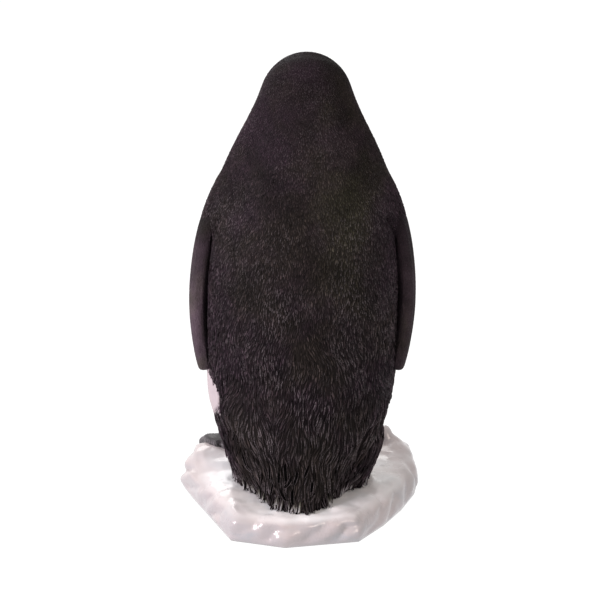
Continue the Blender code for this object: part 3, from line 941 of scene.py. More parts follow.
def setEye(side):
    rings, segments = eyeLook["rings"], eyeLook["segments"]
    tilt = np.linspace(0.0, math.pi, rings)[:, None]
    turn = np.arange(segments)[None, :] / segments * math.tau
    ball = np.stack([
        np.sin(tilt) * np.cos(turn),
        -np.sin(tilt) * np.sin(turn),
        -np.cos(tilt) + 0 * turn,
    ], axis=-1)
    ball = ball * eyeRadius * eyeLook["size"] + np.array(eyeSpots[side])
    faces = gridFaces(rings, segments)
    eyeball = makeObject("eyeball" + side.capitalize(), ball.reshape(-1, 3), faces, eyePaint(side))
    place(eyeball, "eye_gloss", "eye_" + side)


for side in sides:
    setEye(side)
print("eyes set")


def featherFaces(mids):
    # one closed feather: a root point, rows of left, ridge and right, and a tip point
    tip = 3 * mids + 1
    faces = [(0, 2, 1), (0, 3, 2), (0, 1, 3)]
    for k in range(mids - 1):
        left, ridge, right = 1 + 3 * k, 2 + 3 * k, 3 + 3 * k
        faces += [
            (left, ridge, ridge + 3), (left, ridge + 3, left + 3),
            (ridge, right, right + 3), (ridge, right + 3, ridge + 3),
            (left, left + 3, right + 3), (left, right + 3, right),
        ]
    left, ridge, right = tip - 3, tip - 2, tip - 1
    faces += [(left, ridge, tip), (ridge, right, tip), (left, tip, right)]
    return np.array(faces)


# typical is the percentile of a row's steps that sets its spacing
rooting = {"typical": 85, "fewest": 6, "keep": 1.15}


def rootsOver(points, alongPitch, acrossPitch, looseness, random):
    # staggered lines of roots, from the bottom row up, thinned where the rows crowd together
    height, width = points.shape[:2]
    rowSize = np.linalg.norm(np.gradient(points, axis=0), axis=2)
    columnSize = np.linalg.norm(np.roll(points, -1, axis=1) - points, axis=2)
    rows, columns = [], []
    row, line = 0.5, 0
    while row < height - 1.5:
        r = int(row)
        size = np.percentile(rowSize[r], rooting["typical"])
        pitch = alongPitch(row)
        count = max(rooting["fewest"], int(columnSize[r].sum() / acrossPitch(row)))
        cumulative = np.concatenate([[0], np.cumsum(columnSize[r])])
        spots = (np.arange(count) + 0.5 * (line % 2) + random.uniform(-looseness, looseness, count)) / count
        column = np.interp(np.mod(spots, 1.0) * cumulative[-1], cumulative, np.arange(width + 1))
        here = row + random.uniform(-looseness, looseness, count) * pitch / size
        local = rowSize[r, np.minimum(column.astype(int), width - 1)]
        keep = random.random(count) < local / size * rooting["keep"]
        rows.append(here[keep])
        columns.append(column[keep])
        row += pitch / size
        line += 1
    return np.concatenate(rows), np.concatenate(columns)


def ringShares(mids):
    return np.concatenate([[0.0], (np.arange(mids) + 0.75) / (mids + 0.35), [1.0]])


# heights of a blade's edges and of a leaf's middle, as shares of the ridge
bladeForm = {"leafRim": 0.9, "leafMiddle": -0.25, "strandEdge": -0.45}


def strandCorners(centre, normal, look, mids):
    # a thin blade along each path: round ended and rimmed for a leaf, ridged for a strand
    way = np.gradient(centre, axis=1)
    sideways = np.cross(normal, way)
    sideways /= np.maximum(np.linalg.norm(sideways, axis=2, keepdims=True), 1e-9)
    shares = ringShares(mids)
    leaf = look.get("leaf", False)
    corners = np.empty((len(centre), 3 * mids + 2, 3))
    corners[:, 0] = centre[:, 0]
    corners[:, -1] = centre[:, -1]
    for k in range(mids):
        share = shares[k + 1]
        if leaf:
            spread = (1 - abs(2 * share - 1) ** 3) ** 0.5
            edgeRise, crestRise = bladeForm["leafRim"], bladeForm["leafMiddle"]
        else:
            spread = math.sin(math.pi * share ** look["taper"]) ** 0.75
            edgeRise, crestRise = bladeForm["strandEdge"], spread
        half = (look["width"] * spread / 2)[:, None]
        edge = normal[:, k + 1] * (look["ridge"] * edgeRise)[:, None]
        crest = normal[:, k + 1] * (look["ridge"] * crestRise)[:, None]
        corners[:, 1 + 3 * k] = centre[:, k + 1] + sideways[:, k + 1] * half + edge
        corners[:, 2 + 3 * k] = centre[:, k + 1] + crest
        corners[:, 3 + 3 * k] = centre[:, k + 1] - sideways[:, k + 1] * half + edge
    return corners


def featherBodies(points, normals, rows, columns, look, mids):
    # corners of every feather at once: they follow the surface from root to tip
    rowStep = np.gradient(points, axis=0)
    columnStep = (np.roll(points, -1, axis=1) - np.roll(points, 1, axis=1)) / 2
    rowSize = np.linalg.norm(readGrid(rowStep, rows, columns), axis=1)
    columnSize = np.linalg.norm(readGrid(columnStep, rows, columns), axis=1)
    shares = ringShares(mids)
    swing = look["swing"][:, None] + look["curl"][:, None] * shares[None, :]
    down = -np.cos(swing) * look["length"][:, None] * shares / rowSize[:, None]
    over = np.sin(swing) * look["length"][:, None] * shares / np.maximum(columnSize[:, None], 1e-5)
    pathRows = rows[:, None] + down
    pathColumns = columns[:, None] + over
    centre = readGrid(points, pathRows, pathColumns)
    # past the last row a feather runs straight on
    past = np.minimum(pathRows, 0.0)[..., None]
    centre = centre + readGrid(rowStep, np.zeros_like(pathRows) + 0.5, pathColumns) * past
    normal = readGrid(normals, pathRows, pathColumns)
    normal /= np.linalg.norm(normal, axis=2, keepdims=True)
    rise = look["root"][:, None] + (look["lift"] - look["root"])[:, None] * shares[None, :] ** look["sweep"]
    return strandCorners(centre + normal * rise[..., None], normal, look, mids)


tones = {
    # painted shade along a feather's edges and at its root, and a painted highlight along its crest and at
    # its tip
    "root": 0.12,
    "edge": 0.08,
    "crest": (1.2, 1.4),              # at the root, and how much more at the tip
    "tip": 2.3,
    "darkPaint": (0.09, 0.30),        # brightness over which this gives way to even paint
    "wear": (0.35, 0.65),             # dry brushing and painted highlight along the crest: at the root, and how much more at the tip
    "patch": 0.0015,                  # each feather's size in the unwrap
}


def coatPiece(name, corners, mids, patchUv, colours, wear, material, contrast=1.0):
    # colours are one for each feather, or one for each of its corners
    count, each = corners.shape[:2]
    template = featherFaces(mids)
    faces = (template[None] + (np.arange(count) * each)[:, None, None]).reshape(-1, 3)
    shares = ringShares(mids)
    local = np.zeros((each, 2))
    local[0], local[-1] = (0, 1), (0, -1)
    shading, ends = np.full(each, tones["edge"]), np.zeros(each)
    shading[0], shading[-1] = tones["root"], tones["tip"]
    ends[-1] = 1.0
    for k in range(mids):
        share = shares[k + 1]
        crest = 2 + 3 * k
        local[crest - 1:crest + 2, 0] = (1, 0, -1)
        local[crest - 1:crest + 2, 1] = 1 - 2 * share
        shading[crest] = tones["crest"][0] + tones["crest"][1] * share
        ends[crest] = tones["wear"][0] + tones["wear"][1] * share
    uv = (patchUv[:, None, :] + local[None] * tones["patch"]).reshape(-1, 2)
    obj = makeObject(name, corners.reshape(-1, 3), faces.tolist(), material, uv[faces.ravel()])
    if colours.ndim == 2:
        colours = np.repeat(colours[:, None, :], each, axis=1)
    # painted shade on the dark feathers' edges and roots, painted highlight on their crests and tips
    dark = contrast * (1 - smoothStep(colours.max(axis=2, keepdims=True), *tones["darkPaint"]))
    colours = colours * mix(1.0, shading[None, :, None], dark)
    paintPoints(obj, "marking", colours.reshape(-1, 3))
    notePoints(obj, "wear", (wear[:, None] * ends[None, :]).ravel())
    place(obj, "black_paint")


coat = {
    # along the back from the hem: feather length, width, ridge, lift of the tip, and drift of the lie
    "length": [
        (0.0, 0.040), (0.10, 0.038), (0.17, 0.031), (0.26, 0.0210), (0.40, 0.0140), (0.60, 0.0098),
        (0.80, 0.0062), (0.95, 0.0052), (1.10, 0.0042), (1.25, 0.0032),
    ],
    "width": [
        (0.0, 0.0060), (0.12, 0.0058), (0.26, 0.0052), (0.45, 0.0044), (0.75, 0.0036), (0.95, 0.0029),
        (1.10, 0.0022), (1.25, 0.0017),
    ],
    "ridge": [
        (0.0, 0.0032), (0.15, 0.0030), (0.28, 0.0023), (0.50, 0.0015), (0.80, 0.0010), (1.00, 0.00065),
        (1.25, 0.0003),
    ],
    "lift": [
        (0.0, 0.0030), (0.15, 0.0024), (0.30, 0.0017), (0.50, 0.0012), (0.80, 0.0009), (1.00, 0.0006),
        (1.25, 0.0004),
    ],
    "drift": [
        (0.0, 0.10), (0.10, 0.34), (0.26, 0.40), (0.45, 0.26), (0.70, 0.16), (1.00, 0.10), (1.25, 0.03),
    ],
    # by height: how uneven the paint is from feather to feather, and how worn and highlighted
    "unevenness": [(0.05, 0.62), (0.25, 0.60), (0.50, 0.54), (0.75, 0.42), (0.95, 0.34)],
    "wear": [(0.05, 1.50), (0.2, 1.30), (0.45, 0.78), (0.9, 0.50)],
    "shades": (0.3, 3.2),     # darkest and palest paint, as shares of the colour
    "wearPatches": 0.09,      # size of the patches that are worn and highlighted more or less
    "wearDrift": (0.65, 0.9), # wear in a middling patch, and how much it varies
    "wearRange": (0.1, 1.4),
    "overlap": 0.47,          # next line's distance, as a share of the length
    "packing": 0.88,          # next feather's distance, as a share of the width
    "looseness": 0.36,
    "gather": 30.0,           # degrees that the rump's strands turn to the tail
    "gatherHeights": (0.07, 0.30),
    "gatherTurn": 1.15,       # above 1, those in front of the legs turn less
    # length, width, ridge and lift: how much they scatter, and the least and most of each
    "scatter": [(0.18, 0.6, 1.5), (0.16, 0.6, 1.5), (0.30, 0.35, 1.9), (0.40, 0.2, 2.2)],
    "swing": 4,               # degrees that the feathers stray
    "curl": (3, 5),           # degrees that they bend along their length, and how much more at the rump
    "sunk": 0.9,              # a root's depth, as a share of the ridge
    "sweep": 1.3,             # above 1, a strand stays low at first and lifts towards its tip
    "taper": 0.85,            # below 1, it's widest nearer its root
    "driftSize": 0.055,       # size of the patches whose strands lean the same way
    "whiteRidge": 0.0008,     # the white plumage is nearly smooth: low ridges whose tips dip into the skin
    "whiteDip": 0.0004,
    "whiteLength": 0.8,
    "whiteCalm": 0.8,         # how much straighter the white feathers lie
    "whiteUneven": 0.05,      # their share of the dark feathers' unevenness
    "whiteAbove": (0.10, 0.40),
    "eyeClearance": 0.0103,
    "bareRows": 4,            # where the bill begins
    "jitter": 0.5,            # degrees that the colour's edges wander from feather to feather
    # the crease at the flipper's rear edge is left bare: its distance from the axis, width and fades
    "creaseGap": {
        "reach": 0.19, "width": 0.0048, "fadeIn": (0.56, 0.58), "fadeOut": (0.668, 0.692), "bare": 0.72,
    },
    "creaseShade": 0.75,      # how much darker its edges are
    # shortening in the crease and by the flank's edge: turn from the edge, its spread, and heights
    "trim": {"inCrease": 0.35, "byEdge": 0.55, "turn": 2, "spread": 4.5, "above": (0.19, 0.23)},
    "seed": 11,
}
# start and end along the back, and cross sections in each feather
coatBands = {
    "rumpFeathers": (0.0, 0.26, 4),
    "loinFeathers": (0.26, 0.42, 3),
    "backFeathers": (0.42, 0.58, 2),
    "shoulderFeathers": (0.58, 0.72, 2),
    "mantleFeathers": (0.72, 0.84, 2),
    "neckFeathers": (0.84, 0.94, 2),
    "crownFeathers": (0.94, 1.08, 2),
    "faceFeathers": (1.08, 9.0, 2),
}


def backTable(name, row):
    return tableAt(coat[name], np.interp(row, np.arange(bodyRows), backLength))


def driftAt(points, size):
    return np.array([noise.noise(Vector(p) / size) for p in points])


def turnOf(columns, full=math.tau):
    # round from the middle of the back, plus on the left
    return (columns / bodyColumns * full + full / 2) % full - full / 2


def inCreaseAt(roots, columns):
    # 1 in the middle of the crease at the flipper's rear edge, 0 away from it
    gap = coat["creaseGap"]
    line = tableAt(creases["shoulder"]["line"], roots[:, 2])
    across = np.radians(np.abs(turnOf(columns, 360)) - line) * gap["reach"]
    inCrease = bell(across, gap["width"]) * smoothStep(roots[:, 2], *gap["fadeIn"])
    return inCrease * (1 - smoothStep(roots[:, 2], *gap["fadeOut"]))


def bodyRoots(random):
    rows, columns = rootsOver(
        bodySkin,
        lambda row: backTable("length", row) * coat["overlap"],
        lambda row: backTable("width", row) * coat["packing"],
        coat["looseness"], random,
    )
    roots = readGrid(bodySkin, rows, columns)
    keep = np.ones(len(rows), bool)
    for eye in eyeSpots.values():
        keep &= np.linalg.norm(roots - np.array(eye), axis=1) > coat["eyeClearance"]
    keep &= rows < bodyRows - coat["bareRows"]
    keep &= roots[:, 2] > stance["iceTop"] - 0.001
    keep &= inCreaseAt(roots, columns) < coat["creaseGap"]["bare"]
    return rows[keep], columns[keep], roots[keep]


def scattered(draws, share, least, most):
    return (1 + share * draws).clip(least, most)


def bodyLook(rows, columns, roots, white, scatter):
    # how each feather is shaped and which way it lies
    length, width, ridge, lift = (scattered(draws, *how) for draws, how in zip(scatter, coat["scatter"]))
    low = 1 - smoothStep(roots[:, 2], *coat["gatherHeights"])
    turn = (turnOf(columns) * coat["gatherTurn"]).clip(-math.pi, math.pi)
    gather = -np.radians(coat["gather"]) * low * np.sin(turn)
    lean = driftAt(roots, coat["driftSize"]) * backTable("drift", rows) * 2.0
    calm = 1 - coat["whiteCalm"] * white
    dip = coat["whiteDip"] * white
    curl, curlBelow = coat["curl"]
    return {
        "length": backTable("length", rows) * length * mix(1.0, coat["whiteLength"], white),
        "width": backTable("width", rows) * width,
        "ridge": mix(backTable("ridge", rows) * ridge, coat["whiteRidge"], white),
        "lift": backTable("lift", rows) * lift * (1 - white) - dip,
        "root": -backTable("ridge", rows) * coat["sunk"] * (1 - white) - dip,
        "swing": gather + lean + np.radians(coat["swing"]) * scatter[4] * calm,
        "curl": np.radians(curlBelow * low + curl) * scatter[5] * calm,
        "sweep": coat["sweep"],
        "taper": coat["taper"],
    }


def trimmed(roots, inCrease):
    # short feathers in the crease, and along the flank's edge to keep its white clean
    trim = coat["trim"]
    around = turnFromBack(roots)
    fromEdge = edgeAt(around, roots[:, 2]) - np.abs(around)
    byEdge = bell(fromEdge - trim["turn"], trim["spread"]) * smoothStep(roots[:, 2], *trim["above"])
    return (1 - trim["inCrease"] * inCrease) * (1 - trim["byEdge"] * byEdge)


def bodyCoat():
    random = np.random.default_rng(coat["seed"])
    rows, columns, roots = bodyRoots(random)
    count = len(rows)
    inCrease = inCreaseAt(roots, columns)
    scatter = random.normal(0, 1, (6, count))
    colours = colourAt(roots, random.normal(0, coat["jitter"], count))
    white = smoothStep(colours.max(axis=1), *coat["whiteAbove"])
    look = bodyLook(rows, columns, roots, white, scatter)
    look["length"] *= trimmed(roots, inCrease)
    uneven = tableAt(coat["unevenness"], roots[:, 2]) * random.normal(0, 1, count)
    colours *= np.exp(uneven * mix(1.0, coat["whiteUneven"], white)).clip(*coat["shades"])[:, None]
    colours *= (1 - coat["creaseShade"] * inCrease)[:, None]
    wear = random.random(count) ** 2.0 * tableAt(coat["wear"], roots[:, 2])
    middling, varying = coat["wearDrift"]
    wear *= (middling + varying * driftAt(roots + 7.0, coat["wearPatches"])).clip(*coat["wearRange"])
    wear *= (1 - white) * (1 - inCrease)
    along = np.interp(rows, np.arange(bodyRows), backLength)
    for name, (start, end, mids) in coatBands.items():
        chosen = (along >= start) & (along < end)
        part = {
            key: value[chosen] if isinstance(value, np.ndarray) else value
            for key, value in look.items()
        }
        corners = featherBodies(bodySkin, bodyNormals, rows[chosen], columns[chosen], part, mids)
        spots = rootUv(rows[chosen], columns[chosen])
        coatPiece(name, corners, mids, spots, colours[chosen], wear[chosen], bodyPaint)
        print(name, len(corners), "feathers", len(corners) * len(featherFaces(mids)), "triangles")


bodyCoat()


def coatFlipper(side):
    look = flipperCoat
    random = np.random.default_rng(look["seed"] + (side == "left"))
    grid, _ = flippers[side]
    rows, columns = rootsOver(
        grid,
        lambda row: look["length"] * look["overlap"],
        lambda row: look["width"] * look["packing"],
        look["looseness"], random,
    )
    roots = readGrid(grid, rows, columns)
    keep = roots[:, 2] < flipper["root"][1] - 0.01
    rows, columns, roots = rows[keep], columns[keep], roots[keep]
    count = len(rows)
    scatter = random.normal(0, 1, (6, count))
    length, width, ridge, lift = (scattered(draws, *how) for draws, how in zip(scatter, look["scatter"]))
    sizes = {
        "length": look["length"] * length,
        "width": look["width"] * width,
        "ridge": look["ridge"] * ridge,
        "lift": look["lift"] * lift,
        "root": np.full(count, -look["ridge"]),
        "swing": np.radians(look["swing"]) * scatter[4],
        "curl": np.radians(look["curl"]) * scatter[5],
        "sweep": coat["sweep"],
        "taper": coat["taper"],
    }
    mids = look["mids"]
    corners = featherBodies(grid, gridNormals(grid), rows, columns, sizes, mids)
    colours = flipperTint(side, columns, roots[:, 2])
    colours *= scattered(random.normal(0, 1, (count, 1)), look["unevenness"], *look["shades"])
    wear = random.random(count) ** 3.0 * look["wear"]
    name = "flipperFeathers" + side.capitalize()
    spots = flipperUv(side, rows, columns)
    coatPiece(name, corners, mids, spots, colours, wear, wingPaint, look["contrast"])
    print("flipper", side, count, "feathers")


for side in sides:
    coatFlipper(side)


bill = {
    "root": (-0.158, 0.8785),       # y from the bird's axis and height
    "tilt": 38,
    # distance, drop, half width and half height
    "stations": [
        (-0.012, 0.0000, 0.0140, 0.0156), (0.000, 0.0000, 0.0134, 0.0149), (0.028, 0.0000, 0.0114, 0.0127),
        (0.052, 0.0004, 0.0091, 0.0101), (0.076, 0.0022, 0.0067, 0.0077), (0.096, 0.0058, 0.0044, 0.0053),
        (0.1065, 0.0088, 0.0019, 0.0024),
    ],
    "rows": 60,
    "points": 36,
    "mouth": -0.10,                 # height of the gape, as a share of the half height
    "gap": 0.0003,
    "culmen": 0.16,                 # how much the upper half narrows towards its top
    "groove": (0.085, 0.52, 0.16),  # along each side: depth, place up the side and spread
    "plate": (0.050, -0.42, 0.26),  # along each lower side: how far it stands out, place and spread
    "formsEnd": 0.085,              # both fade out towards the tip, over these lengths
    "formsFade": (0.03, 0.02),
    "tip": (0, -0.0006, -0.0003),   # the tip point, from the middle of the last ring
    "black": (0.013, 0.010, 0.012),
    "worn": (0.030, 0.024, 0.026),
    "plateRoot": (0.62, 0.22, 0.06),
    "plateTip": (0.52, 0.17, 0.26),
    "plateStreak": (0.70, 0.42, 0.30),
    "gloss": (0.24, 0.40),
    # where the plate's paint starts and ends, round the ring and along the bill
    "paintRound": ((0.30, 0.44), (0.90, 0.97)),
    "paintAlong": ((0.02, 0.10), (0.80, 0.90)),
}


def pinched(ring):
    # a ring of the grid drawn together at its middle
    return np.repeat(ring.mean(axis=1, keepdims=True), ring.shape[1], axis=1)


def billRing(upper, along, drop, width, height):
    gape = bill["mouth"] * height + (bill["gap"] if upper else -bill["gap"])
    start = math.asin(max(-0.9, min(0.9, gape / height)))
    first, last = (start, math.pi - start) if upper else (math.pi - start, math.tau + start)
    depth, place, spread = bill["groove"] if upper else bill["plate"]
    left = bill["formsEnd"] - along
    ring = []
    for k in range(bill["points"]):
        turn = mix(first, last, k / (bill["points"] - 1))
        across, rise = math.cos(turn) * width, math.sin(turn) * height
        form = math.exp(-(((math.sin(turn) - place) / spread) ** 2))
        if upper:
            across *= 1 - bill["culmen"] * max(0.0, math.sin(turn)) ** 2
            across *= 1 - depth * form * float(smoothStep(left, 0.0, bill["formsFade"][0]))
        else:
            across *= 1 + depth * form * float(smoothStep(left, 0.0, bill["formsFade"][1]))
        ring.append((across, -along, rise - drop))
    return ring


def billHalf(upper):
    spots = np.linspace(0, len(bill["stations"]) - 1, bill["rows"])
    grid = np.array([billRing(upper, *station) for station in curveThrough(bill["stations"], spots)])
    # the cut face along the gape is closed by one more column
    grid = np.concatenate([grid, (grid[:, :1] + grid[:, -1:]) / 2], axis=1)
    grid = np.concatenate([pinched(grid[:1]), grid, pinched(grid[-1:]) + np.array(bill["tip"])])
    turn = Matrix.Rotation(math.radians(bill["tilt"]), 3, "X")
    placed = grid.reshape(-1, 3) @ np.array(turn).T
    placed += np.array([0, stance["axisY"] + bill["root"][0], bill["root"][1]])
    placed[:, 0] += leanShift(placed[:, 2])
    return placed.reshape(grid.shape)


def billPaint(name, lower):
    material, tree, shader = newPaint(name)
    streaks = noiseNode(tree, 90, 3, 0.6, (1.0, 0.25, 1.0))
    if lower:
        band = attributeNode(tree, "plate")["Fac"]
        along = attributeNode(tree, "alongBill")["Fac"]
        warm = mixColour(tree, along, bill["plateRoot"], bill["plateTip"])
        warm = mixColour(tree, remap(tree, streaks, 0.3, 0.7, 0.0, 0.35), warm, bill["plateStreak"])
        colour = mixColour(tree, band, bill["black"], warm)
    else:
        colour = mixColour(tree, remap(tree, streaks, 0.4, 0.75, 0.0, 0.6), bill["black"], bill["worn"])
    tree.links.new(colour, shader.inputs["Base Color"])
    tree.links.new(remap(tree, streaks, 0.3, 0.7, *bill["gloss"]), shader.inputs["Roughness"])
    addBump(tree, shader, noiseNode(tree, 260, 3, 0.6, (1.0, 0.2, 1.0)), 0.3, 0.0003)
    return material


def closedGrid(name, grid, material):
    # the faces look outwards, whichever way the grid runs round
    points = grid.reshape(-1, 3)
    quads = np.array(gridFaces(*grid.shape[:2]))
    corner = points[quads[:, 0]]
    normal = np.cross(points[quads[:, 1]] - corner, points[quads[:, 2]] - corner)
    outward = ((points[quads].mean(axis=1) - points.mean(axis=0)) * normal).sum(axis=1)
    if (outward * np.linalg.norm(normal, axis=1)).sum() < 0:
        quads = quads[:, ::-1]
    return makeObject(name, points, quads.tolist(), material)


def setBill(name, node, slotName, upper):
    grid = billHalf(upper)
    piece = closedGrid(name, grid, billPaint(name + "Paint", not upper))
    if not upper:
        rows, columns = grid.shape[:2]
        around = np.abs(np.arange(columns) / (bill["points"] - 1) - 0.5) * 2      # 1 at the gape, 0 below
        along = np.linspace(-0.1, 1.0, rows)
        band = between(around, *bill["paintRound"])[None, :] * between(along, *bill["paintAlong"])[:, None]
        notePoints(piece, "plate", band.ravel())
        notePoints(piece, "alongBill", np.repeat(np.clip(along, 0, 1), columns))
    place(piece, slotName, node)


setBill("billUpper", "bill_upper", "bill_paint", True)
setBill("billLower", "bill_lower", "mandible_paint", False)
print("bill shaped")

ice = {
    "spokes": 300,
    "sideLevels": (
        0.0006, 0.004, 0.008, 0.012, 0.0165, 0.021, 0.0255, 0.030, 0.0345, 0.039, 0.043, 0.047, 0.050,
    ),
    "topRows": 72,
    "underside": (0.5, 0.97),        # rings across the flat bottom, as shares of the rim
    "facetSize": 0.055,
    "facetDepth": 0.0030,
    "facetSlant": (-0.9, 0.7, 0.55), # how far they shear sideways as they rise, and their upright scale
    "scoops": 21,                    # slanting scoops round the side
    "scoopDepth": 0.0078,
    "scoopSlant": -120.0,            # how fast they run round as they rise
    "scoopWander": 2.4,
    "scoopLevel": 0.64,
    "scoopOver": (0.16, 0.24),       # they run over the rim and out onto the top this far from the middle
    "scoopOnTop": 0.35,
    "waveSize": 0.070,
    "waveDepth": 0.0034,
    "waveShares": (0.45, 0.55),      # down the side, and how much more on top
    "facetsLost": 0.85,              # how much of them is lost on top
    "sideFrom": (0.004, 0.016),      # heights over which the carving begins
    "topTilt": (0.5, 0.92),          # upward share of the normal over which side turns to top
    "lump": {"middle": (0.203, -0.040), "spread": (0.038, 0.026), "height": 0.094},    # behind the left foot
    "pearl": (0.470, 0.418, 0.419),
    "clouds": (0.450, 0.422, 0.426),
    "blueStreaks": (0.390, 0.408, 0.432),
    "blush": (0.550, 0.468, 0.446),
    "hemPearl": (0.920, 0.870, 0.855),       # painted light round the hem, lifting the bird's shade off the ice, with grey blue streaks of painted shade in it
    "hemStreaks": (0.72, 0.755, 0.775),
    "glaze": 0.45,
    "glazeRoughness": 0.12,
    "hemRow": 6,                             # the skin's row that this is measured from
    "hemReach": 0.058,
    "onTop": (0.045, 0.055),                 # heights over which the slab's top begins
    "hemShare": 0.75,
    # painted shade on the slab's upright side
    "sideTint": (0.78, 0.79, 0.82),
    "sideTilt": (0.10, 0.85),                # upward share of the normal over which this fades out
    "roughness": (0.22, 0.36),
}


def rimDistance(tree, centre, way, far):
    hit = tree.ray_cast(centre + way * far, -way, far)
    return far - hit[3] if hit[0] is not None else 0.0


def topUnder(tree, spot):
    return tree.ray_cast(Vector((spot[0], spot[1], 1.0)), Vector((0, 0, -1)), 1.0)[0]


def castSlab():
    # rows run up the side and over the top to the middle
    tree = treeOf(["ice_base"])
    levels, long = ice["sideLevels"], rays["length"]
    shares = 1 - np.linspace(0.012, 1.0, ice["topRows"], endpoint=False) ** 1.15
    grid = np.empty((len(levels) + len(shares) + 1, ice["spokes"], 3))
    for s, turn in enumerate(np.arange(ice["spokes"]) / ice["spokes"] * math.tau):
        way = Vector((math.cos(turn), math.sin(turn), 0))
        for r, level in enumerate(levels):
            start = Vector((0.0, 0.0, level))
            edge = rimDistance(tree, start, way, long)
            grid[r, s] = start + way * edge
        for r, share in enumerate(shares):
            spot = way * edge * share
            grid[len(levels) + r, s] = topUnder(tree, spot) or (spot.x, spot.y, levels[-1])
    grid[-1] = grid[-2].mean(axis=0)
    return grid[:, ::-1]


def chiselMarks(grid):
    # slanting facets down the side and softer swells on top
    shear = ice["facetSlant"]
    facets = np.empty(grid.shape[:2])
    waves = np.empty(grid.shape[:2])
    for r, c in np.ndindex(facets.shape):
        x, y, z = grid[r, c]
        slanted = Vector((x + shear[0] * z, y + shear[1] * z, z * shear[2])) / ice["facetSize"]
        near = noise.voronoi(slanted + Vector((3.1, 1.7, 0.4)))[0]
        facets[r, c] = near[0] - 0.5 * (near[1] - near[0])
        wave = Vector((x, y, z)) / ice["waveSize"] + Vector((0.3, 4.0, 1.0))
        waves[r, c] = noise.fractal(wave, 0.9, 2.1, 3)
    return facets - facets.mean(), waves


def iceSlab():
    grid = castSlab()
    inner, outer = (grid[:1] * np.array([share, share, 1.0]) for share in ice["underside"])
    grid = np.concatenate([inner, outer, grid])
    grid[:2, :, 2] = 0.0
    smooth = blurred(grid[2:-1], 2, 1)
    smooth[0] = grid[2]
    grid[2:-1] = smooth
    normals = gridNormals(grid)
    x, y, rise = grid[..., 0], grid[..., 1], grid[..., 2]
    facets, waves = chiselMarks(grid)
    runRound = ice["scoops"] * np.arctan2(y, x) + ice["scoopSlant"] * rise + ice["scoopWander"] * waves
    scoops = np.abs(np.sin(runRound / 2)) - ice["scoopLevel"]
    side = smoothStep(rise, *ice["sideFrom"])
    top = smoothStep(normals[..., 2], *ice["topTilt"])
    steep = 1 - top * (1 - ice["scoopOnTop"] * smoothStep(np.hypot(x, y), *ice["scoopOver"]))
    push = -ice["facetDepth"] * facets * (1 - ice["facetsLost"] * top)
    push = push + ice["scoopDepth"] * scoops * steep * (1 + waves).clip(0.3, 1.6)
    onSide, onTop = ice["waveShares"]
    push = side * (push + ice["waveDepth"] * waves * (onSide + onTop * top))
    hump = softPatch(x, y, ice["lump"])
    grid = grid + normals * push[..., None]
    grid[..., 2] = grid[..., 2] + (ice["lump"]["height"] - grid[..., 2]).clip(0, 1) * hump * top
    grid[-1] = grid[-2].mean(axis=0)
    grid[:2, :, 2] = 0.0
    grid[..., 2] = np.maximum(grid[..., 2], 0.0)
    return grid


def icePaint():
    material, tree, shader = newPaint("pearlIcePaint")
    clouds = noiseNode(tree, 7.5, 4, 0.6)
    streaks = noiseNode(tree, 11, 5, 0.65, (1.0, 1.0, 3.0))
    blush = noiseNode(tree, 5.0, 3, 0.5, (1.3, 1.0, 0.7))
    colour = mixColour(tree, remap(tree, clouds, 0.38, 0.62, 0.0, 1.0), ice["pearl"], ice["clouds"])
    colour = mixColour(tree, remap(tree, streaks, 0.52, 0.68, 0.0, 0.55), colour, ice["blueStreaks"])
    colour = mixColour(tree, remap(tree, blush, 0.50, 0.66, 0.0, 0.45), colour, ice["blush"])
    # painted light on the ice round the hem, streaked with grey blue painted shade
    byHem = attributeNode(tree, "byHem")["Fac"]
    hemStreaks = mathNode(tree, "MULTIPLY", byHem, remap(tree, streaks, 0.35, 0.6, 0.3, 1.0))
    colour = mixColour(tree, byHem, colour, ice["hemPearl"])
    colour = mixColour(tree, hemStreaks, colour, ice["hemStreaks"])
    # painted shade: the slab's side is darker than its top
    edge = attributeNode(tree, "slabEdge")["Fac"]
    tinted = mixColour(tree, 1.0, colour, ice["sideTint"], "MULTIPLY")
    tree.links.new(mixColour(tree, edge, colour, tinted), shader.inputs["Base Color"])
    tree.links.new(remap(tree, clouds, 0.3, 0.7, *ice["roughness"]), shader.inputs["Roughness"])
    shader.inputs["Coat Weight"].default_value = ice["glaze"]
    shader.inputs["Coat Roughness"].default_value = ice["glazeRoughness"]
    addBump(tree, shader, noiseNode(tree, 60, 4, 0.55), 0.16, 0.002)
    return material


def hemLightAt(points):
    far = np.full(len(points), 1.0)
    for spot in bodySkin[ice["hemRow"], ::3]:
        far = np.minimum(far, np.linalg.norm(points[:, :2] - spot[:2], axis=1))
    return bell(far, ice["hemReach"]) * smoothStep(points[:, 2], *ice["onTop"])


iceGrid = iceSlab()
slab = closedGrid("iceSlab", iceGrid, icePaint())
notePoints(slab, "byHem", hemLightAt(iceGrid.reshape(-1, 3)) * ice["hemShare"])
notePoints(slab, "slabEdge", 1 - smoothStep(gridNormals(iceGrid)[..., 2].ravel(), *ice["sideTilt"]))
place(slab, "ice_gloss", "ice_base")
print("ice carved")

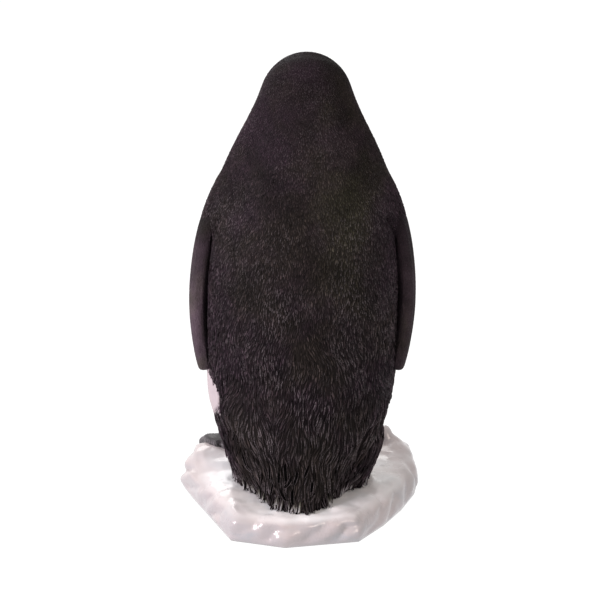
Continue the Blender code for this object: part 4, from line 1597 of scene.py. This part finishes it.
# clumps of strands that spread from the plumage's hem over the ice
hem = {
    "clumpPitch": 0.0125,
    "uneven": 0.3,           # of the spacing, as a share of the pitch
    "strands": 9,            # in each clump
    "aside": 0.62,           # how far from its middle they start, as a share of the pitch
    "rootHeight": (0.008, 0.040),
    "reach": (0.004, 0.019),
    "ownReach": (0.5, 1.1),  # of each strand, as a share of its clump's
    "sway": 0.0030,
    "gatherIn": 0.7,         # how far the tips of a clump draw together
    "tipRise": (0.0004, 0.0016),
    "bend": {"along": 0.30, "outward": 0.003, "down": 0.72},
    "bulge": 0.0022,         # how far the middle of a strand stands out
    "sunk": 0.0010,          # how deep its root starts in the plumage
    "tipFacing": 0.8,        # above 0, the tips turn their faces upwards
    "sizes": (0.75, 1.2),
    "width": 0.0041,
    "ridge": 0.0021,
    "taper": 0.75,
    "shades": (0.6, 1.3),
    "frosted": 0.56,         # share of the clumps that are brushed white
    "frostedStrands": 0.75,  # and of the strands in them
    "frost": (0.35, 0.95),
    "frostAlong": (0.30, 0.80),
    "notch": {"height": 0.07, "turn": 7, "reach": 0.4},    # short frosted tufts where the leg's crease ends
    "seed": 31,
    "mids": 4,
}
iceTree = treeOfGrid(iceGrid)


def iceLevel(x, y):
    hit = iceTree.ray_cast(Vector((x, y, 0.5)), Vector((0, 0, -1)), 1.0)
    return hit[0].z if hit[0] is not None else stance["iceTop"]


def hemRows():
    # the row where the skin meets the ice, for each column
    rows = np.zeros(bodyColumns)
    for c in range(bodyColumns):
        for r in range(bodyRows):
            x, y, z = bodySkin[r, c]
            if z > iceLevel(x, y):
                break
        rows[c] = r
    return rows


def hemStrand(foot, column, aside, reach, sway, random):
    # a curve from the plumage down and out to a tip that lies on the ice
    rootRow = foot + random.uniform(*hem["rootHeight"]) / max(backRise[int(foot)], 0.002)
    rows, columns = np.array([rootRow, foot]), np.array([column, column])
    root, start = readGrid(bodySkin, rows, columns)
    ways = readGrid(bodyNormals, rows, columns)
    ways[1, 2] = 0
    rootOut, out = ways / np.linalg.norm(ways, axis=1, keepdims=True)
    over = np.cross(out, (0, 0, 1.0))
    own = reach * random.uniform(*hem["ownReach"])
    tip = start + out * own + over * (-hem["gatherIn"] * aside + sway)
    tip[2] = iceLevel(tip[0], tip[1]) + random.uniform(*hem["tipRise"])
    bend = mix(start, tip, hem["bend"]["along"]) + out * hem["bend"]["outward"]
    bend[2] = mix(root[2], tip[2], hem["bend"]["down"])
    t = ringShares(hem["mids"])[:, None]
    path = root * (1 - t) ** 2 + 2 * bend * t * (1 - t) + tip * t**2
    path += rootOut * (hem["bulge"] * np.sin(math.pi * t.clip(0, 1)) - hem["sunk"] * (1 - t))
    facing = rootOut * (1 - t) + (out + np.array([0, 0, hem["tipFacing"]])) * t
    return rootRow, path, facing / np.linalg.norm(facing, axis=1, keepdims=True)


def hemStrands(random):
    # paths, normals, sizes, roots and share of white of the strands, clump by clump
    meeting = hemRows()
    ring = np.array([bodySkin[int(row), c] for c, row in enumerate(meeting)])
    steps = np.linalg.norm(np.roll(ring, -1, axis=0) - ring, axis=1)
    travelled = np.concatenate([[0], np.cumsum(steps)])
    pitch, notch = hem["clumpPitch"], hem["notch"]

    def columnAt(distance):
        return np.interp(distance % travelled[-1], travelled, np.arange(bodyColumns + 1))

    strands = []
    for k in range(int(travelled[-1] / pitch)):
        middle = (k + random.uniform(-hem["uneven"], hem["uneven"])) * pitch
        reach = random.uniform(*hem["reach"])
        sway = random.normal(0, hem["sway"])
        turn = columnAt(middle) / bodyColumns * 360 - 360
        inNotch = abs(turn - tableAt(creases["leg"]["line"], notch["height"])) < notch["turn"]
        frostedClump = inNotch or random.random() < hem["frosted"]
        reach *= notch["reach"] if inNotch else 1.0
        for _ in range(hem["strands"]):
            aside = random.uniform(-hem["aside"], hem["aside"]) * pitch
            column = columnAt(middle + aside) % bodyColumns
            foot = np.interp(column, np.arange(bodyColumns), meeting)
            rootRow, path, facing = hemStrand(foot, column, aside, reach, sway, random)
            size = random.uniform(*hem["sizes"])
            frosted = frostedClump and random.random() < hem["frostedStrands"]
            frost = random.uniform(*hem["frost"]) if frosted else 0.0
            strands.append((path, facing, size, (rootRow, column), frost))
    return [np.array(values) for values in zip(*strands)]


def hemTufts():
    random = np.random.default_rng(hem["seed"])
    paths, normals, sizes, roots, white = hemStrands(random)
    mids = hem["mids"]
    look = {"width": hem["width"] * sizes, "ridge": hem["ridge"] * sizes, "taper": hem["taper"]}
    corners = strandCorners(paths, normals, look, mids)
    colours = np.repeat(colourAt(readGrid(bodySkin, *roots.T))[:, None, :], 3 * mids + 2, axis=1)
    colours = colours * random.uniform(*hem["shades"], (len(roots), 1, 1))
    along = np.array([0.0, *np.repeat(ringShares(mids)[1:-1], 3), 1.0])
    frost = white[:, None] * smoothStep(along, *hem["frostAlong"])[None, :]
    colours = mix(colours, np.array(paint["frost"]), frost[..., None])
    wear = random.random(len(roots)) ** 2 * (white == 0)
    coatPiece("hemTufts", corners, mids, rootUv(*roots.T), colours, wear, bodyPaint)
    print("hem", len(roots), "strands")


hemTufts()

# broad round feathers on the lower rump, their raised rims brushed paler with a painted highlight and their
# hollows darker in painted shade
rimmed = {
    "count": 24,
    "heights": (0.080, 0.165),
    "turns": (-12, 56),      # degrees from the back, to the left
    "apart": (0.0095, 0.0300, 0.0200),
    "length": 0.034,
    "lengths": (0.75, 1.2),  # of each feather, as a share of that
    "width": 0.0068,
    "widths": (0.8, 1.15),
    "ridge": 0.0006,
    "lift": 0.0056,
    "root": 0.0004,
    "swing": 0.16,           # radians
    "curl": 0.14,
    "sweep": 0.8,
    "cord": 0.0019,          # width of the cord along each rim
    "cordRidge": 0.7,        # its height, as a share of that
    "leafShade": 0.8,
    "leafWear": 0.1,
    "cordShade": 1.5,
    "cordWear": (0.5, 1.0),
    "seed": 47,
    "mids": 5,
}


def rimmedRoots(random):
    # scattered over the rump, none nearer to another than they may be along any axis
    heights = bodySkin[:, :, 2]
    columns, rows = [], []
    while len(rows) < rimmed["count"]:
        column = (random.uniform(*rimmed["turns"]) / 360 * bodyColumns) % bodyColumns
        height = random.uniform(*rimmed["heights"])
        row = np.interp(height, heights[:, int(column)], np.arange(bodyRows))
        if rows:
            spot = readGrid(bodySkin, np.array([row]), np.array([column]))[0]
            others = readGrid(bodySkin, np.array(rows), np.array(columns))
            if np.abs((others - spot) / np.array(rimmed["apart"])).max(axis=1).min() < 1:
                continue
        rows.append(row)
        columns.append(column)
    return np.array(rows), np.array(columns)


def rimmedFeathers():
    random = np.random.default_rng(rimmed["seed"])
    rows, columns = rimmedRoots(random)
    count, mids = len(rows), rimmed["mids"]
    gather = -np.radians(coat["gather"]) * np.sin(turnOf(columns) * coat["gatherTurn"])
    look = {
        "length": rimmed["length"] * random.uniform(*rimmed["lengths"], count),
        "width": rimmed["width"] * random.uniform(*rimmed["widths"], count),
        "ridge": np.full(count, rimmed["ridge"]),
        "lift": np.full(count, rimmed["lift"]),
        "root": np.full(count, rimmed["root"]),
        "swing": gather + random.normal(0, rimmed["swing"], count),
        "curl": random.normal(0, rimmed["curl"], count),
        "sweep": rimmed["sweep"],
        "leaf": True,
    }
    leaves = featherBodies(bodySkin, bodyNormals, rows, columns, look, mids)
    normals = np.repeat(readGrid(bodyNormals, rows, columns)[:, None], mids + 2, axis=1)
    width = np.full(count, rimmed["cord"])
    cord = {"width": width, "ridge": width * rimmed["cordRidge"], "taper": 1.0}
    pieces = [leaves]
    for first in (1, 3):
        border = [0] + [first + 3 * k for k in range(mids)] + [3 * mids + 1]
        pieces.append(strandCorners(leaves[:, border], normals, cord, mids))
    base = colourAt(readGrid(bodySkin, rows, columns))
    # painted shade in each leaf's hollow, painted highlight on its raised rims
    colours = np.concatenate([base * rimmed["leafShade"], np.tile(base * rimmed["cordShade"], (2, 1))])
    cordWear = np.tile(random.uniform(*rimmed["cordWear"], count), 2)
    wear = np.concatenate([np.full(count, rimmed["leafWear"]), cordWear])
    spots = np.tile(rootUv(rows, columns), (3, 1))
    coatPiece("rimmedFeathers", np.concatenate(pieces), mids, spots, colours, wear, bodyPaint)


rimmedFeathers()
print("hem finished")

foot = {
    "spokes": 150,
    "wallRows": 7,
    "topRows": 60,
    "topSpan": (0.015, 1.05),        # where the top's rows start, in from the rim, and how they open out
    "reach": 0.2,                    # longer than a foot
    "rimLevels": 16,                 # heights at which the rim is looked for
    "rimInset": (0.0008, 0.002),     # how far these stay off the foot's sole and its top
    "blur": (3, 2),
    "pebble": 0.0036,
    "pebbleDepth": 0.00085,
    "pebbleEdge": (2.6, 0.25),       # steepness of each pebble's side, and the width of the creases
    "middles": {"left": (0.188, -0.090), "right": (-0.080, -0.075)},
    # the left foot shows from behind as a low dome with a rounded outer end
    "instep": {
        "span": (-0.100, -0.075), "reach": (0.185, 0.220), "widen": 0.009, "widenSpan": (-0.135, -0.105),
        "middle": 0.203, "outer": 0.034, "inner": 0.052, "floor": 0.080, "crown": 0.1095, "fill": 0.7,
        "fillSpan": (-0.004, 0.018), "ends": 0.98, "from": -0.97,
    },
    "skin": (0.012, 0.010, 0.011),
    "skinPale": (0.030, 0.025, 0.028),
    "dusting": (0.34, 0.305, 0.330),
    "roughness": (0.42, 0.58),
    "dustingShare": (0.80, 0.68),    # on the raised pebbles, and how much less on the foot's highest part, which is left darker as painted shade
    "highest": (-0.016, -0.004),     # from the top, where that begins and ends
}


def footPaint():
    material, tree, shader = newPaint("pebbledFootPaint")
    raised = attributeNode(tree, "raised")["Fac"]
    patches = noiseNode(tree, 60, 4)
    colour = mixColour(tree, remap(tree, patches, 0.3, 0.7, 0.0, 1.0), foot["skin"], foot["skinPale"])
    grey = mathNode(tree, "MULTIPLY", raised, remap(tree, patches, 0.3, 0.7, 0.45, 1.0))
    colour = mixColour(tree, grey, colour, foot["dusting"])
    tree.links.new(colour, shader.inputs["Base Color"])
    tree.links.new(remap(tree, patches, 0.3, 0.7, *foot["roughness"]), shader.inputs["Roughness"])
    addBump(tree, shader, noiseNode(tree, 500, 2), 0.3, 0.0004)
    return material


def footGrid(side):
    # rows run up a wall from the ice to the rim, then over the top to the middle
    tree = treeOf(["foot_" + side])
    low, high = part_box("foot_" + side)
    middle = foot["middles"][side]
    overSole, underTop = foot["rimInset"]
    heights = np.linspace(low.z + overSole, high.z - underTop, foot["rimLevels"])
    start, opening = foot["topSpan"]
    shares = 1 - np.linspace(start, 1.0, foot["topRows"], endpoint=False) ** opening
    walls = foot["wallRows"]
    grid = np.empty((walls + foot["topRows"] + 1, foot["spokes"], 3))
    for s in range(foot["spokes"]):
        turn = s / foot["spokes"] * math.tau
        way = Vector((math.cos(turn), math.sin(turn), 0))
        rim = max(rimDistance(tree, Vector((*middle, z)), way, foot["reach"]) for z in heights)
        hits = [topUnder(tree, Vector((*middle, 1.0)) + way * rim * share) for share in shares]
        crown = np.array([np.nan if hit is None else hit.z for hit in hits])
        good = ~np.isnan(crown)
        crown = np.interp(np.arange(len(crown)), np.flatnonzero(good), crown[good])
        outward = np.array(way)[:2] * rim
        grid[:walls, s, :2] = middle + outward
        grid[:walls, s, 2] = np.linspace(low.z, crown[0], walls, endpoint=False)
        grid[walls:-1, s, :2] = middle + outward * shares[:, None]
        grid[walls:-1, s, 2] = crown
    grid[-1] = grid[-2].mean(axis=0)
    return grid[:, ::-1]


def roundedInstep(grid):
    swell = foot["instep"]
    x, y, z = grid[..., 0], grid[..., 1], grid[..., 2]
    back = smoothStep(y, *swell["span"])
    grid[..., 0] = x + swell["widen"] * smoothStep(x, *swell["reach"]) * smoothStep(y, *swell["widenSpan"])
    along = grid[..., 0] - swell["middle"]
    along = along / np.where(along > 0, swell["outer"], swell["inner"])
    along = along.clip(-swell["ends"], swell["ends"])
    dome = swell["floor"] + (swell["crown"] - swell["floor"]) * np.sqrt(1 - along**2)
    across = smoothStep(z, *(swell["floor"] + step for step in swell["fillSpan"]))
    domed = np.where(z > dome, dome, mix(z, dome, swell["fill"] * across))
    grid[..., 2] = mix(z, domed, back * (along > swell["from"]))
    return grid


def pebbledFoot(side, material):
    low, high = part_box("foot_" + side)
    grid = footGrid(side)
    if side == "left":
        grid = roundedInstep(grid)
    grid[:-1] = blurred(grid[:-1], *foot["blur"])
    grid = np.concatenate([pinched(grid[:1]), grid])
    grid[0, :, 2] = low.z
    normals = gridNormals(grid)
    steepness, crease = foot["pebbleEdge"]
    raised = np.empty(grid.shape[:2])
    for r, c in np.ndindex(raised.shape):
        near = noise.voronoi(Vector(grid[r, c]) / foot["pebble"])[0]
        raised[r, c] = min(1.0, max(0.0, (near[1] - near[0]) * steepness - crease))
    grid[1:] += normals[1:] * (raised[1:, :, None] - 0.5) * foot["pebbleDepth"]
    grid[..., 2] = np.maximum(grid[..., 2], low.z)
    obj = closedGrid("pebbled" + side.capitalize() + "Foot", grid, material)
    # painted shade: the top of the foot is dusted less and stays darker
    begin, end = foot["highest"]
    crown = smoothStep(grid[..., 2], high.z + begin, high.z + end)
    dusting, less = foot["dustingShare"]
    notePoints(obj, "raised", (raised * (dusting - less * crown)).ravel())
    place(obj, "foot_paint", "foot_" + side)


footFinish = footPaint()
for side in sides:
    pebbledFoot(side, footFinish)

claw = {
    "rounding": 2,
    "weld": 0.00002,
    "tucked": {"claw_left_3": (-0.0070, 0.0040, -0.0050)},    # the outer claw lies close to its toe
    "horn": (0.016, 0.013, 0.014),
    "hornPale": (0.055, 0.046, 0.045),
    "roughness": 0.32,
}


def clawPaint():
    material, tree, shader = newPaint("hornClawPaint")
    grain = noiseNode(tree, 300, 3, 0.6, (1.0, 0.3, 1.0))
    colour = mixColour(tree, remap(tree, grain, 0.35, 0.7, 0.0, 1.0), claw["horn"], claw["hornPale"])
    tree.links.new(colour, shader.inputs["Base Color"])
    shader.inputs["Roughness"].default_value = claw["roughness"]
    addBump(tree, shader, grain, 0.2, 0.0003)
    return material


def roundedClaw(name, material):
    source = bmesh.new()
    source.from_mesh(nodes[name].data)
    bmesh.ops.remove_doubles(source, verts=source.verts, dist=claw["weld"])
    blank = bpy.data.meshes.new("hornClaw")
    source.to_mesh(blank)
    source.free()
    obj = bpy.data.objects.new("horn" + name.title().replace("_", ""), blank)
    bpy.context.scene.collection.objects.link(obj)
    rounding = obj.modifiers.new("rounding", "SUBSURF")
    rounding.levels = rounding.render_levels = claw["rounding"]
    mesh = bpy.data.meshes.new_from_object(obj.evaluated_get(bpy.context.evaluated_depsgraph_get()))
    obj.modifiers.clear()
    obj.data = mesh
    mesh.materials.clear()
    mesh.materials.append(material)
    mesh.shade_smooth()
    mesh.transform(Matrix.Translation(claw["tucked"].get(name, (0, 0, 0))))
    place(obj, "claw_paint", name)


clawFinish = clawPaint()
for name in [name for name in nodes if name.startswith("claw_")]:
    roundedClaw(name, clawFinish)
print("feet and claws done")

studio = {
    "floorSize": 44.0,
    "floorDrop": 0.0005,
    "floorColour": (0.10, 0.10, 0.10),
    "floorGlow": 0.97,
    "floorRoughness": 0.9,
    "floorShine": 0.1,
    "roomColour": (1.0, 0.985, 0.985),
    "wallLight": 0.90,       # the sweep that the bird faces
    "roomLight": 0.49,       # the rest of the room
    "wallSpan": (-0.35, 0.30),
    "sideLight": (0.70, 1.30),
    "sideSpan": (-0.7, 0.7),
    "lowSpan": (0.08, 0.34), # near the floor all is white up to here
    "lamps": [
        # name, place, aim, size, watts, colour
        ("keySoftbox", (3.0, 2.0, 1.8), (0.0, 0.05, 0.40), 1.6, 134, (1.0, 0.92, 0.97)),
        ("warmFill", (-2.0, 2.8, 2.6), (0.0, 0.05, 0.45), 1.8, 46, (1.0, 0.86, 0.77)),
        ("frontSoftbox", (0.9, -3.0, 2.4), (0.0, 0.0, 0.5), 2.4, 36, (1.0, 0.98, 0.96)),
    ],
}


def layFloor():
    half = studio["floorSize"] / 2
    corners = [(-half, -half, 0), (half, -half, 0), (half, half, 0), (-half, half, 0)]
    mesh = bpy.data.meshes.new("studioFloor")
    mesh.from_pydata(corners, [], [(0, 1, 2, 3)])
    floor = bpy.data.objects.new("studioFloor", mesh)
    floor.location.z = -studio["floorDrop"]
    bpy.context.scene.collection.objects.link(floor)
    material, _, shader = newPaint("studioFloorPaint")
    shader.inputs["Base Color"].default_value = (*studio["floorColour"], 1.0)
    shader.inputs["Roughness"].default_value = studio["floorRoughness"]
    shader.inputs["Specular IOR Level"].default_value = studio["floorShine"]
    shader.inputs["Emission Color"].default_value = (1.0, 1.0, 1.0, 1.0)
    shader.inputs["Emission Strength"].default_value = studio["floorGlow"]
    mesh.materials.append(material)


def lightRoom():
    # brighter in front of the bird, on one side and near the floor
    world = bpy.data.worlds.new("studioWorld")
    world.use_nodes = True
    sky = world.node_tree
    direction = addNode(sky, "ShaderNodeTexCoord")
    parts = addNode(sky, "ShaderNodeSeparateXYZ")
    sky.links.new(direction.outputs["Generated"], parts.inputs["Vector"])
    wall = remap(sky, parts.outputs["Y"], *studio["wallSpan"], studio["wallLight"], studio["roomLight"])
    across = remap(sky, parts.outputs["X"], *studio["sideSpan"], *studio["sideLight"])
    wall = mathNode(sky, "MULTIPLY", wall, across)
    wall = mathNode(sky, "MAXIMUM", wall, remap(sky, parts.outputs["Z"], *studio["lowSpan"], 1.0, 0.0))
    sky.links.new(wall, sky.nodes["Background"].inputs["Strength"])
    sky.nodes["Background"].inputs["Color"].default_value = (*studio["roomColour"], 1.0)
    bpy.context.scene.world = world
    bpy.context.scene.view_settings.view_transform = "Standard"


def aimAt(obj, spot, aim):
    obj.location = spot
    obj.rotation_euler = (Vector(aim) - Vector(spot)).to_track_quat("-Z", "Y").to_euler()
    bpy.context.scene.collection.objects.link(obj)


layFloor()
lightRoom()
for name, spot, aim, size, watts, colour in studio["lamps"]:
    lamp = bpy.data.lights.new(name, "AREA")
    lamp.shape = "DISK"
    lamp.size = size
    lamp.energy = watts
    lamp.color = colour
    aimAt(bpy.data.objects.new(name, lamp), spot, aim)

camera = {
    "place": (0.0, 3.0497, 1.4554),
    "aim": (0.0, stance["axisY"], 0.4714),
    "lens": 88.44,
    "sensor": 36.0,
}
lens = bpy.data.cameras.new("studioCamera")
lens.lens = camera["lens"]
lens.sensor_width = camera["sensor"]
viewer = bpy.data.objects.new("studioCamera", lens)
aimAt(viewer, camera["place"], camera["aim"])
bpy.context.scene.camera = viewer
print("studio lit")
